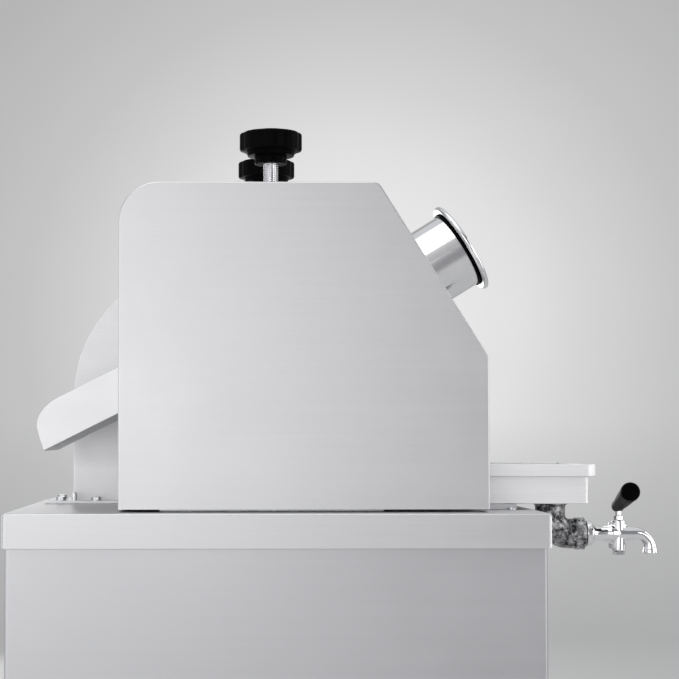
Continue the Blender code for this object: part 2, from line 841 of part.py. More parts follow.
def make_belt_drive():
    jack = (JACK_X, PULLEY_Y0, JACK_Z)
    driven = pulley_profile(DRIVEN_PITCH_R, JACK_R + GAP)
    part("driven_pulley", turned(driven, jack, (0, 1, 0), 32), "cast", jack)

    motor = (MOTOR_X, PULLEY_Y0, MOTOR_Z)
    driver = pulley_profile(DRIVER_PITCH_R, MOTOR_SHAFT_R, GEARBOX_Y1 - 3 * PASS)
    part("motor_pulley", turned(driver, motor, (0, 1, 0), 24, closed=False), "steel", motor)

    tilt = math.asin((DRIVEN_PITCH_R - DRIVER_PITCH_R) / (JACK_Z - MOTOR_Z))

    def belt_loop(offset, steps=16):
        over = math.pi + 2 * tilt
        loop = []
        for step in range(steps + 1):
            turn = -tilt + over * step / steps
            radius = DRIVEN_PITCH_R + offset
            loop.append((JACK_X + radius * math.cos(turn), JACK_Z + radius * math.sin(turn)))
        under = math.tau - over
        for step in range(steps + 1):
            turn = math.pi + tilt + under * step / steps
            radius = DRIVER_PITCH_R + offset
            loop.append((MOTOR_X + radius * math.cos(turn), MOTOR_Z + radius * math.sin(turn)))
        return loop

    outer = belt_loop(BELT_HALF_THICK)
    inner = belt_loop(-BELT_HALF_THICK)
    part("drive_belt", prism("Y", BELT_Y0, BELT_Y1, outer, [inner]), "rubber")


def make_frame_plate(name, y0, foot_y0, foot_y1):
    """A plate with bores for the lower rollers and a slot, open at its top, for a bearing block."""
    y1 = y0 + PLATE_THICK
    slot_half = BLOCK_HALF + GAP
    slot_z = TOP_Z - BLOCK_HALF_Z - GAP
    foot_z = TABLE_Z + GAP
    outline = [
        (PLATE_X0, foot_z),
        (PLATE_X1, foot_z),
        (PLATE_X1, PLATE_SHOULDER_Z - 4 * PASS),
        (PLATE_X1 - 4 * PASS, PLATE_SHOULDER_Z),
        (TOP_X + NECK_HALF, PLATE_SHOULDER_Z),
        (TOP_X + NECK_HALF, PLATE_TOP_Z),
        (TOP_X + slot_half, PLATE_TOP_Z),
        (TOP_X + slot_half, slot_z),
        (TOP_X - slot_half, slot_z),
        (TOP_X - slot_half, PLATE_TOP_Z),
        (TOP_X - NECK_HALF, PLATE_TOP_Z),
        (TOP_X - NECK_HALF, PLATE_SHOULDER_Z),
        (PLATE_X0 + 4 * PASS, PLATE_SHOULDER_Z),
        (PLATE_X0, PLATE_SHOULDER_Z - 4 * PASS),
    ]
    bores = [circle(x, LOWER_Z, SHAFT_R + GAP, 20) for x in (REAR_X, FRONT_X)]
    plate = part(name, prism("Y", y0, y1, outline, bores), "steel")
    foot = box(PLATE_X0, PLATE_X1, foot_y0, foot_y1, foot_z, foot_z + FOOT_THICK)
    fuse(plate, foot)


def make_frame():
    near_y1 = NEAR_PLATE_Y + PLATE_THICK
    far_y1 = FAR_PLATE_Y + PLATE_THICK
    make_frame_plate(
        "frame_plate_near", NEAR_PLATE_Y, NEAR_PLATE_Y - FOOT_WIDE, near_y1 - GAP
    )
    make_frame_plate("frame_plate_far", FAR_PLATE_Y, FAR_PLATE_Y + GAP, far_y1 + PASS)
    for side, y0 in (("near", NEAR_PLATE_Y), ("far", FAR_PLATE_Y)):
        middle_y = y0 + PLATE_THICK / 2
        bridge = prism(
            "Z",
            CAP_Z0,
            CAP_Z1,
            rounded_rectangle(
                TOP_X - CAP_HALF,
                TOP_X + CAP_HALF,
                y0 - CAP_OVERHANG,
                y0 + PLATE_THICK + CAP_OVERHANG,
                CAP_OVERHANG,
            ),
            [circle(TOP_X, middle_y, SCREW_R + GAP, 20)],
        )
        part(f"frame_cap_{side}", bridge, "steel")
        block = prism(
            "Y",
            y0,
            y0 + PLATE_THICK,
            rectangle(
                TOP_X - BLOCK_HALF,
                TOP_X + BLOCK_HALF,
                TOP_Z - BLOCK_HALF_Z,
                TOP_Z + BLOCK_HALF_Z,
            ),
            [circle(TOP_X, TOP_Z, SHAFT_R + GAP, 20)],
        )
        part(f"bearing_block_{side}", block, "cast", (TOP_X, middle_y, TOP_Z))


def make_roller(name, x, z, far_end):
    """A fluted roller and its shaft in one piece, from the near plate to its far end."""
    steps = 2 * FLUTES

    def ring(y, radius, flute=0.0):
        points = []
        for step in range(steps):
            turn = math.tau * step / steps
            reach = radius - flute * (step % 2)
            points.append((x + reach * math.cos(turn), y, z + reach * math.sin(turn)))
        return points

    rings = [
        ring(NEAR_PLATE_Y + GAP, SHAFT_R),
        ring(ROLLER_Y0, SHAFT_R),
        ring(ROLLER_Y0, ROLLER_R, FLUTE_DEEP),
        ring(ROLLER_Y1, ROLLER_R, FLUTE_DEEP),
        ring(ROLLER_Y1, SHAFT_R),
        ring(far_end, SHAFT_R),
    ]
    part(name, lofted(rings), "bright", (x, 0, z))


def make_press():
    make_roller("top_roller", TOP_X, TOP_Z, ROLLER_GEAR_Y1)
    make_roller("front_roller", FRONT_X, LOWER_Z, ROLLER_GEAR_Y1)
    make_roller("rear_roller", REAR_X, LOWER_Z, BULL_Y1)
    make_pressure_screw("near", NEAR_PLATE_Y + PLATE_THICK / 2, 0)
    make_pressure_screw("far", FAR_PLATE_Y + PLATE_THICK / 2, FAR_KNOB_RAISE)
    make_trash_turner()


def make_pressure_screw(side, y, rise):
    foot_z = TOP_Z + BLOCK_HALF_Z + GAP
    pivot = (TOP_X, y, foot_z)
    shank = rod(SCREW_R, pivot, (0, 0, 1), KNOB_BORE_Z + rise - GAP - foot_z, 20)
    part(f"pressure_screw_{side}", shank, "steel", pivot)

    steps = 4 * KNOB_LOBES

    def ring(z, radius, lobe=0.0):
        points = []
        for step in range(steps):
            turn = math.tau * step / steps
            reach = radius - lobe * (0.5 - 0.5 * math.cos(KNOB_LOBES * turn))
            points.append((TOP_X + reach * math.cos(turn), y + reach * math.sin(turn), z + rise))
        return points

    bore_r = SCREW_R + GAP
    rings = [
        ring(KNOB_BORE_Z, bore_r),
        ring(KNOB_FOOT_Z, bore_r),
        ring(KNOB_FOOT_Z, KNOB_HUB_R),
        ring(KNOB_STEP_Z, KNOB_HUB_R),
        ring(KNOB_STEP_Z, 0.74 * KNOB_R),
        ring(KNOB_RIM_Z, 0.8 * KNOB_R, KNOB_LOBE / 2),
        ring(KNOB_RIM_Z, KNOB_R - KNOB_EDGE, KNOB_LOBE),
        ring(KNOB_RIM_Z + KNOB_EDGE, KNOB_R, KNOB_LOBE),
        ring(KNOB_CROWN_Z, KNOB_R, KNOB_LOBE),
        ring(KNOB_CROWN_Z + KNOB_EDGE, KNOB_R - KNOB_EDGE, KNOB_LOBE),
        ring(KNOB_TOP_Z, KNOB_R * 0.7),
    ]
    part(f"pressure_knob_{side}", lofted(rings), "black", (TOP_X, y, KNOB_FOOT_Z + rise))


def make_trash_turner():
    """A curved bar under the top roller that leads the crushed cane from the front nip to the rear."""
    inner_r = ROLLER_R + 2.5 * MM
    outer_r = inner_r + PASS
    reach = math.radians(27)
    web_half = 5 * MM
    steps = 8
    outline = []
    for step in range(steps + 1):
        turn = -math.pi / 2 - reach + 2 * reach * step / steps
        outline.append((TOP_X + inner_r * math.cos(turn), TOP_Z + inner_r * math.sin(turn)))
    web_turn = math.asin(web_half / outer_r)
    for step in range(steps // 2 + 1):
        turn = -math.pi / 2 + reach - (reach - web_turn) * step / (steps // 2)
        outline.append((TOP_X + outer_r * math.cos(turn), TOP_Z + outer_r * math.sin(turn)))
    foot_z = TOP_Z - outer_r - 5 * PASS
    outline += [(TOP_X + web_half, foot_z), (TOP_X - web_half, foot_z)]
    for step in range(steps // 2 + 1):
        turn = -math.pi / 2 - web_turn - (reach - web_turn) * step / (steps // 2)
        outline.append((TOP_X + outer_r * math.cos(turn), TOP_Z + outer_r * math.sin(turn)))
    y0 = NEAR_PLATE_Y + PLATE_THICK + GAP
    part("trash_turner", prism("Y", y0, FAR_PLATE_Y - GAP, outline), "steel")


def make_gears():
    rear = (REAR_X, LOWER_Z)
    top = (TOP_X, TOP_Z)
    front = (FRONT_X, LOWER_Z)
    jack = (JACK_X, JACK_Z)
    rear_phase = 0.0
    top_phase = meshing_phase(rear, rear_phase, ROLLER_TEETH, top, ROLLER_TEETH)
    front_phase = meshing_phase(top, top_phase, ROLLER_TEETH, front, ROLLER_TEETH)
    pinion_phase = meshing_phase(rear, 0.0, BULL_TEETH, jack, PINION_TEETH)
    bore_r = SHAFT_R + GAP
    y0 = ROLLER_GEAR_Y0
    y1 = ROLLER_GEAR_Y1
    for name, centre, phase in (
        ("rear_roller_gear", rear, rear_phase),
        ("top_roller_gear", top, top_phase),
        ("front_roller_gear", front, front_phase),
    ):
        outline = gear_outline(GEAR_MODULE, ROLLER_TEETH, centre, phase)
        wheel = prism("Y", y0, y1, outline, [circle(*centre, bore_r, 20)])
        part(name, wheel, "steel", (centre[0], y0, centre[1]))
    outline = gear_outline(BULL_MODULE, BULL_TEETH, rear, 0.0)
    wheel = prism("Y", BULL_Y0, BULL_Y1, outline, [circle(*rear, bore_r, 20)])
    part("bull_gear", wheel, "cast", (REAR_X, BULL_Y0, LOWER_Z))
    outline = gear_outline(BULL_MODULE, PINION_TEETH, jack, pinion_phase)
    wheel = prism("Y", BULL_Y0, BULL_Y1, outline, [circle(*jack, JACK_R + GAP, 16)])
    part("pinion", wheel, "steel", (JACK_X, BULL_Y0, JACK_Z))


def make_jackshaft():
    bearing_y0 = CASE_Y0 + CASE_SHEET + GAP
    bearing_y1 = BULL_Y0 - 3 * MM
    start = (JACK_X, bearing_y0 + GAP, JACK_Z)
    part(
        "jackshaft",
        rod(JACK_R, start, (0, 1, 0), PULLEY_Y1 + 2 * MM - start[1], 20),
        "steel",
        start,
    )
    wide = bearing_y1 - bearing_y0
    profile = [
        (JACK_R + GAP, 0),
        (JACK_BEARING_R, 0),
        (JACK_BEARING_R, PASS),
        (JACK_BEARING_R * 0.75, PASS),
        (JACK_BEARING_R * 0.7, wide),
        (JACK_R + GAP, wide),
    ]
    part(
        "jackshaft_bearing",
        turned(profile, (JACK_X, bearing_y0, JACK_Z), (0, 1, 0), 24),
        "cast",
    )


def hood_outline(inset, foot_z):
    """The hood's side, drawn in by a sheet's thickness or not, down to its foot."""
    slope = Vector((HOOD_X1 - SLANT_TOP_X, SLANT_FOOT_Z - HOOD_Z1))
    lean = math.atan2(-slope.y, slope.x)
    top_in = inset * math.tan(lean / 2)
    foot_in = inset * math.tan((math.pi / 2 - lean) / 2)
    return rounded(
        [
            (HOOD_X0 + inset, foot_z, 0),
            (HOOD_X1 - inset, foot_z, 0),
            (HOOD_X1 - inset, SLANT_FOOT_Z - foot_in, HOOD_FRONT_R),
            (SLANT_TOP_X - top_in, HOOD_Z1 - inset, HOOD_FRONT_R),
            (HOOD_X0 + inset, HOOD_Z1 - inset, HOOD_REAR_R - inset),
        ],
        8,
    )


def make_hood():
    shell = prism("Y", HOOD_Y0, HOOD_Y1, hood_outline(0, HOOD_Z0))
    hood = part("hood", shell, "stainless")
    inside = hood_outline(HOOD_SHEET, HOOD_Z0 - PASS)
    cut(hood, prism("Y", HOOD_Y0 + HOOD_SHEET, HOOD_Y1 - HOOD_SHEET, inside))
    for y0 in (NEAR_PLATE_Y, FAR_PLATE_Y):
        middle = (TOP_X, y0 + PLATE_THICK / 2, HOOD_Z1 - PASS)
        cut(hood, rod(SCREW_R + 2 * MM, middle, (0, 0, 1), 2 * PASS, 20))
    mouth = Vector((MOUTH_X, PRESS_Y, MOUTH_Z))
    axis = Vector((math.cos(FEED_ANGLE), 0, math.sin(FEED_ANGLE)))
    hole_start = mouth - axis * FEED_LENGTH
    cut(hood, rod(FEED_R + 2 * GAP, hole_start, axis, FEED_LENGTH - PASS, 36))
    chute_way = box(
        HOOD_X0 - PASS,
        HOOD_X0 + PASS,
        CHUTE_Y0 - 2 * MM,
        CHUTE_Y1 + 2 * MM,
        TABLE_Z + 94 * MM,
        TABLE_Z + 158 * MM,
    )
    cut(hood, chute_way)
    tray_way = box(
        HOOD_X1 - PASS,
        HOOD_X1 + PASS,
        TRAY_Y0 - TRAY_RIM - 2 * MM,
        TRAY_Y1 + TRAY_RIM + 2 * MM,
        HOOD_Z0 - PASS,
        TRAY_Z1 + 3 * MM,
    )
    cut(hood, tray_way)
    shaft_way = box(
        PLATE_X0,
        FRONT_X + 2 * SHAFT_R + PASS,
        HOOD_Y1 - PASS,
        HOOD_Y1 + PASS,
        HOOD_Z0 - PASS,
        TOP_Z + 2 * SHAFT_R + PASS,
    )
    cut(hood, shaft_way)


def make_feed_tube():
    """A tube with a rolled lip at its mouth, profiled from the mouth inward along its axis."""
    inner_r = FEED_R - FEED_WALL
    lip_r = FEED_LIP / 2
    lip_centre = FEED_LIP_R - lip_r
    profile = [(inner_r, -FEED_LENGTH), (FEED_R, -FEED_LENGTH), (FEED_R, -FEED_LIP)]
    lip_steps = 4
    for step in range(lip_steps + 1):
        turn = -math.pi / 2 + math.pi * step / lip_steps
        profile.append((lip_centre + lip_r * math.cos(turn), -lip_r + lip_r * math.sin(turn)))
    profile.append((inner_r, 0))
    axis = (math.cos(FEED_ANGLE), 0, math.sin(FEED_ANGLE))
    part("feed_tube", turned(profile, (MOUTH_X, PRESS_Y, MOUTH_Z), axis, 40), "bright")


def make_chute():
    """A sloping sheet channel; its sides follow the floor and end in a rounded nose."""
    fall = Vector((-math.cos(CHUTE_ANGLE), -math.sin(CHUTE_ANGLE)))
    rise = Vector((-fall.y, fall.x)) * -1
    tip = Vector((CHUTE_TIP_X, CHUTE_TIP_Z))
    inner_length = (CHUTE_INNER_X - CHUTE_TIP_X) / math.cos(CHUTE_ANGLE)
    inner_top = tip + rise * CHUTE_SIDE - fall * (inner_length - 5 * PASS)
    inner_foot = tip - fall * inner_length
    corners = [
        (*tip, 0),
        (CHUTE_NOSE_X, CHUTE_NOSE_Z, CHUTE_NOSE_R),
        (CHUTE_TOP_X, CHUTE_TOP_Z, CHUTE_TOP_R),
        (*inner_top, 0),
        (*inner_foot, 0),
    ]
    side = rounded(corners, 8)
    chute = part("discharge_chute", prism("Y", CHUTE_Y0, CHUTE_Y1, side), "bright")
    lift = rise * CHUTE_SHEET
    channel_start = tip + lift + fall * (2 * CHUTE_SIDE)
    channel_end = inner_foot + lift - fall * CHUTE_SIDE
    channel = [
        tuple(channel_start),
        tuple(channel_end),
        tuple(channel_end + rise * (2 * CHUTE_SIDE)),
        tuple(channel_start + rise * (2 * CHUTE_SIDE)),
    ]
    cut(chute, prism("Y", CHUTE_Y0 + CHUTE_SHEET, CHUTE_Y1 - CHUTE_SHEET, channel))


def case_outline(inset, foot_z):
    centre_x = CASE_X0 + CASE_R
    centre_z = CASE_TOP_Z - CASE_R
    radius = CASE_R - inset
    outline = [(CASE_X0 + inset, foot_z)]
    arc_steps = 20
    for step in range(arc_steps + 1):
        turn = math.pi - math.pi / 2 * step / arc_steps
        outline.append((centre_x + radius * math.cos(turn), centre_z + radius * math.sin(turn)))
    corner_r = CASE_CORNER_R - inset
    corner_x = CASE_X1 - CASE_CORNER_R
    corner_z = CASE_TOP_Z - CASE_CORNER_R
    corner_steps = 6
    for step in range(corner_steps + 1):
        turn = math.pi / 2 - math.pi / 2 * step / corner_steps
        outline.append((corner_x + corner_r * math.cos(turn), corner_z + corner_r * math.sin(turn)))
    outline.append((CASE_X1 - inset, foot_z))
    return outline


def make_gear_case():
    foot_z = TABLE_Z + GAP
    case = part("gear_case", prism("Y", CASE_Y0, CASE_Y1, case_outline(0, foot_z)), "stainless")
    flange_top = foot_z + CASE_FLANGE_THICK
    near_flange = box(
        CASE_X0 - CASE_FLANGE,
        HOOD_X0 - PASS,
        CASE_Y0 - CASE_FLANGE_NEAR,
        CASE_Y1 - PASS,
        foot_z,
        flange_top,
    )
    fuse(case, near_flange)
    far_flange = box(
        CASE_X1 - PASS, CASE_X1 + CASE_FLANGE, CASE_Y0 + PASS, CASE_Y1 - PASS, foot_z, flange_top
    )
    fuse(case, far_flange)
    inside = case_outline(CASE_SHEET, foot_z - PASS)
    cut(case, prism("Y", CASE_Y0 + CASE_SHEET, CASE_Y1 + PASS, inside))
    for x, z, radius in (
        (REAR_X, LOWER_Z, SHAFT_R + 3 * MM),
        (FRONT_X, LOWER_Z, SHAFT_R + 3 * MM),
        (TOP_X, TOP_Z + LIFT / 2, SHAFT_R + 5 * MM),
    ):
        cut(case, rod(radius, (x, CASE_Y0 - PASS, z), (0, 1, 0), 2 * PASS, 20))
    lid_y = CASE_Y1 + GAP
    lid = prism("Y", lid_y, lid_y + CASE_SHEET, case_outline(0, foot_z))
    part("gear_case_lid", lid, "stainless")


def make_tray():
    """The juice tray, open on top with a rim band round it, and the guide it slides in."""
    outer = rounded_rectangle(TRAY_X0, TRAY_X1, TRAY_Y0, TRAY_Y1, PASS)
    band = rounded_rectangle(
        TRAY_X0 - TRAY_RIM,
        TRAY_X1 + TRAY_RIM,
        TRAY_Y0 - TRAY_RIM,
        TRAY_Y1 + TRAY_RIM,
        PASS + TRAY_RIM,
    )
    tray = part("juice_tray", prism("Z", TRAY_RIM_Z, TRAY_Z1, band), "bright")
    fuse(tray, prism("Z", TRAY_Z0, TRAY_RIM_Z + PASS, outer))
    inner = rounded_rectangle(
        TRAY_X0 + TRAY_SHEET,
        TRAY_X1 - TRAY_SHEET,
        TRAY_Y0 + TRAY_SHEET,
        TRAY_Y1 - TRAY_SHEET,
        PASS - TRAY_SHEET,
    )
    cut(tray, prism("Z", TRAY_Z0 + TRAY_SHEET, TRAY_Z1 + PASS, inner))
    drain = rod(PIPE_BORE, (DRAIN_X, PRESS_Y, TRAY_Z0 - PASS), (0, 0, 1), 2 * PASS, 20)
    cut(tray, drain)

    rail_z0 = TABLE_Z + GAP
    rail_z1 = TRAY_Z0 - GAP
    rail = box(TRAY_X0, RAIL_X1, TRAY_Y0 + GAP, TRAY_Y0 + RAIL_WIDE, rail_z0, rail_z1)
    guide = part("tray_guide", rail, "stainless")
    fuse(guide, box(TRAY_X0, RAIL_X1, TRAY_Y1 - RAIL_WIDE, TRAY_Y1 - GAP, rail_z0, rail_z1))
    fuse(guide, box(TRAY_X0, TRAY_X0 + RAIL_WIDE, TRAY_Y0 + PASS, TRAY_Y1 - PASS, rail_z0, rail_z1))
    make_strainer()


def make_strainer():
    x1 = TRAY_X1 - TRAY_SHEET - PASS / 2
    x0 = HOOD_X1 + 2 * PASS
    y0 = TRAY_Y0 + TRAY_SHEET + PASS / 2
    y1 = TRAY_Y1 - TRAY_SHEET - PASS / 2
    low = TRAY_Z0 + TRAY_SHEET + GAP
    plate_z = TABLE_Z + 26 * MM
    slots = 10
    step = (y1 - y0 - 2 * PASS) / slots
    holes = []
    for index in range(slots):
        start = y0 + PASS + step * (index + 0.25)
        holes.append(rectangle(x0 + 3 * PASS, x1 - 3 * PASS, start, start + step / 2))
    sheet = prism("Z", plate_z, plate_z + TRAY_SHEET, rectangle(x0, x1, y0, y1), holes)
    strainer = part("strainer", sheet, "bright")
    for leg_x in (x0, x1 - TRAY_SHEET):
        leg = box(leg_x, leg_x + TRAY_SHEET, y0, y1, low, plate_z + TRAY_SHEET / 2)
        fuse(strainer, leg)


def make_elbow():
    """A cast elbow: down from the tray, round a quarter bend and out to a collar at the tap."""
    down = Vector((0, 0, -1))
    out = Vector((1, 0, 0))
    start = Vector((DRAIN_X, PRESS_Y, TRAY_Z0 - GAP))
    bend = Vector((DRAIN_X + BEND_R, PRESS_Y, DRAIN_Z + BEND_R))
    end = Vector((ELBOW_X1, PRESS_Y, DRAIN_Z))
    collar = COLLAR_R - PIPE_R
    collar_length = 9 * MM

    def pipe_rings(radius, steps):
        rings = [ring_about(start, down, radius)]
        for step in range(steps + 1):
            turn = math.pi / 2 * step / steps
            centre = bend + Vector((-math.cos(turn), 0, -math.sin(turn))) * BEND_R
            along = down * math.cos(turn) + out * math.sin(turn)
            rings.append(ring_about(centre, along, radius))
        return rings

    outside = pipe_rings(PIPE_R, 5)
    collar_start = end - out * collar_length
    outside += [
        ring_about(collar_start, out, PIPE_R),
        ring_about(collar_start, out, PIPE_R + collar),
        ring_about(end, out, PIPE_R + collar),
    ]
    inside = [*pipe_rings(PIPE_BORE, 5), ring_about(end, out, PIPE_BORE)]
    part("drain_elbow", lofted(outside + inside[::-1], closed=True), "cast")


def web_outline(side, reach, low, high):
    """A web between the barrel and the pipe on one side of it, with hollow curves above and below."""
    steps = 5
    far_x = BARREL_X + side * reach
    near_x = BARREL_X + side * BARREL_R * 0.6
    curves = []
    for edge in (low, high):
        start = math.copysign(TAP_NECK_R * 0.6, edge - DRAIN_Z)
        curve = []
        for step in range(steps + 1):
            turn = math.pi / 2 * step / steps
            x = far_x + (near_x - far_x) * math.sin(turn)
            curve.append((x, edge - (edge - DRAIN_Z - start) * math.cos(turn)))
        curves.append(curve)
    return curves[0] + curves[1][::-1]


def make_tap():
    """The tap: a flange and neck along X, an upright barrel with its plug, and a curved spout."""
    flange_x = ELBOW_X1 + GAP
    start = (flange_x, PRESS_Y, DRAIN_Z)
    flange = TAP_FLANGE_X - flange_x
    profile = [
        (0, 0),
        (TAP_FLANGE_R, 0),
        (TAP_FLANGE_R, flange - MM),
        (TAP_FLANGE_R - MM, flange),
        (TAP_NECK_R, flange),
        (TAP_NECK_R * 0.85, flange + 2 * PASS),
        (TAP_NECK_R * 0.95, BARREL_X - flange_x - BARREL_R),
        (TAP_NECK_R * 0.8, BARREL_X - flange_x),
        (0, BARREL_X - flange_x),
    ]
    tap = part("tap_body", turned(profile, start, (1, 0, 0), 16, closed=False), "chrome")
    barrel_length = BARREL_Z1 - BARREL_Z0
    barrel = [
        (0, 0),
        (BARREL_R * 0.9, 0),
        (BARREL_R, MM),
        (BARREL_R, barrel_length - MM),
        (BARREL_R * 0.9, barrel_length),
        (0, barrel_length),
    ]
    barrel_start = (BARREL_X, PRESS_Y, BARREL_Z0)
    fuse(tap, turned(barrel, barrel_start, (0, 0, 1), 16, closed=False))

    spout_start = Vector((BARREL_X, PRESS_Y, DRAIN_Z))
    outlet = Vector((SPOUT_X, PRESS_Y, SPOUT_Z))
    bend_r = (SPOUT_X - BARREL_X) * 0.48
    bend = Vector((SPOUT_X - bend_r, PRESS_Y, DRAIN_Z - bend_r))
    root = spout_start + Vector((BARREL_R, 0, 0))
    rings = [
        ring_about(spout_start, (1, 0, 0), BARREL_R * 0.8, 16),
        ring_about(root, (1, 0, 0), SPOUT_R, 16),
    ]
    steps = 6
    for step in range(steps + 1):
        turn = math.pi / 2 * step / steps
        centre = bend + Vector((math.sin(turn), 0, math.cos(turn))) * bend_r
        along = (math.cos(turn), 0, -math.sin(turn))
        rings.append(ring_about(centre, along, SPOUT_R * 0.8, 16))
    rings += [
        ring_about(outlet + Vector((0, 0, 6 * MM)), (0, 0, -1), SPOUT_R, 16),
        ring_about(outlet, (0, 0, -1), SPOUT_R, 16),
    ]
    fuse(tap, lofted(rings))
    cut(tap, rod(SPOUT_R * 0.7, outlet - Vector((0, 0, PASS)), (0, 0, 1), 3 * PASS, 16))
    web_y = (PRESS_Y - WEB_HALF, PRESS_Y + WEB_HALF)
    fuse(tap, prism("Y", *web_y, web_outline(-1, WEB_REACH, BARREL_Z0 + MM, BARREL_Z1 - MM)))
    fuse(tap, prism("Y", *web_y, web_outline(1, WEB_REACH * 0.75, BARREL_Z0 + MM, DRAIN_Z + PASS)))
    bore_start = (BARREL_X, PRESS_Y, BARREL_Z0 - PASS)
    cut(tap, rod(PLUG_R + GAP, bore_start, (0, 0, 1), barrel_length + 2 * PASS, 16))


def make_tap_handle():
    """The plug that turns in the barrel, its nut below and the lever on top, toward the operator."""
    pivot = (BARREL_X, PRESS_Y, DRAIN_Z)
    low = BARREL_Z0 - 4 * MM
    cap_z = BARREL_Z1 + GAP
    profile = [
        (0, 0),
        (PLUG_R, 0),
        (PLUG_R, cap_z - low),
        (CAP_R, cap_z - low),
        (CAP_R, cap_z + 4 * MM - low),
        (PIN_R, cap_z + 5 * MM - low),
        (PIN_R, LEVER_Z - low),
        (0, LEVER_Z - low),
    ]
    part(
        "tap_plug",
        turned(profile, (BARREL_X, PRESS_Y, low), (0, 0, 1), 16, closed=False),
        "chrome",
        pivot,
    )
    make_tap_lever(pivot)

    nut_z0 = BARREL_Z0 - GAP - 3.5 * MM
    hexagon = circle(BARREL_X, PRESS_Y, BARREL_R * 0.95, 6)
    bore = circle(BARREL_X, PRESS_Y, PLUG_R + GAP, 16)
    part("tap_nut", prism("Z", nut_z0, BARREL_Z0 - GAP, hexagon, [bore]), "chrome", pivot)


def make_tap_lever(pivot):
    """A grip that widens toward its end, with a hole below for the plug's pin."""
    reach = Vector(
        (
            -math.cos(LEVER_TILT) * math.sin(LEVER_YAW),
            -math.cos(LEVER_TILT) * math.cos(LEVER_YAW),
            math.sin(LEVER_TILT),
        )
    )
    grip_start = Vector((BARREL_X, PRESS_Y, LEVER_Z)) - reach * LEVER_HEEL
    grip_length = LEVER_LENGTH + LEVER_HEEL
    grip = [
        (0, 0),
        (LEVER_BASE_R * 0.8, 0),
        (LEVER_BASE_R, 2 * MM),
        (LEVER_BASE_R, 2 * LEVER_HEEL),
        (LEVER_END_R * 0.95, grip_length * 0.85),
        (LEVER_END_R, grip_length * 0.95),
        (LEVER_END_R * 0.85, grip_length),
        (0, grip_length),
    ]
    lever = part("tap_lever", turned(grip, grip_start, reach, 20, closed=False), "black", pivot)
    socket_start = (BARREL_X, PRESS_Y, LEVER_Z - 2 * LEVER_BASE_R)
    cut(lever, rod(PIN_R + GAP, socket_start, (0, 0, 1), 2 * LEVER_BASE_R + GAP, 16))


def make_castors():
    """Four swivelling castors, trailing to the feed end, each a fork with its axle and a wheel."""
    wheel_profile = [
        (AXLE_R + GAP, -FORK_INSIDE + GAP),
        (3 * AXLE_R, -FORK_INSIDE + GAP),
        (0.92 * WHEEL_R, -WHEEL_HALF),
        (WHEEL_R, -0.6 * WHEEL_HALF),
        (WHEEL_R, 0.6 * WHEEL_HALF),
        (0.92 * WHEEL_R, WHEEL_HALF),
        (3 * AXLE_R, FORK_INSIDE - GAP),
        (AXLE_R + GAP, FORK_INSIDE - GAP),
    ]
    names = [(end, side) for end in ("rear", "front") for side in ("near", "far")]
    for end, side in names:
        x = CASTOR_X[end == "front"]
        y = CASTOR_Y[side == "far"]
        axle_x = x + TRAIL
        fork = part(
            f"castor_fork_{end}_{side}",
            prism(
                "Y",
                y - FORK_HALF,
                y + FORK_HALF,
                rounded(
                    [
                        (axle_x - 2 * AXLE_R, WHEEL_R - 2 * AXLE_R, 1.5 * AXLE_R),
                        (axle_x + 2 * AXLE_R, WHEEL_R - 2 * AXLE_R, 1.5 * AXLE_R),
                        (x + 6 * AXLE_R, FORK_CROWN_Z, 0),
                        (x + 6 * AXLE_R, FORK_CROWN_Z + PASS, 0),
                        (x - 5 * AXLE_R, FORK_CROWN_Z + PASS, 0),
                        (x - 5 * AXLE_R, FORK_CROWN_Z, 0),
                    ],
                    3,
                ),
            ),
            "steel",
            (x, y, FORK_TOP_Z),
        )
        gap_box = box(
            x - 2 * WHEEL_R,
            x + 2 * WHEEL_R,
            y - FORK_INSIDE,
            y + FORK_INSIDE,
            -WHEEL_R,
            FORK_CROWN_Z,
        )
        cut(fork, gap_box)
        crown_z = FORK_CROWN_Z + PASS / 2
        crown = rod(5 * AXLE_R, (x, y, crown_z), (0, 0, 1), FORK_TOP_Z - crown_z, 20)
        fuse(fork, crown)
        axle_start = (axle_x, y - FORK_HALF - 2 * MM, WHEEL_R)
        fuse(fork, rod(AXLE_R, axle_start, (0, 1, 0), 2 * FORK_HALF + 4 * MM, 12))
        centre = (axle_x, y, WHEEL_R)
        part(
            f"castor_wheel_{end}_{side}",
            turned(wheel_profile, centre, (0, 1, 0), 18),
            "rubber",
            centre,
        )


clear_scene()
make_table()
make_cabinet()
make_floor()
make_door()
make_latch()
make_vent_panel()
make_controls()
make_motor()
make_belt_drive()
make_frame()
make_press()
make_gears()
make_jackshaft()
make_hood()
make_feed_tube()
make_chute()
make_gear_case()
make_tray()
make_elbow()
make_tap()
make_tap_handle()
make_castors()
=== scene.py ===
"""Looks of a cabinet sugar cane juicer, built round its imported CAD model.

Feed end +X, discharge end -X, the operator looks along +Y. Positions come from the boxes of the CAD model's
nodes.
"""
import math

import bmesh
import bpy
from mathutils import Matrix, Vector


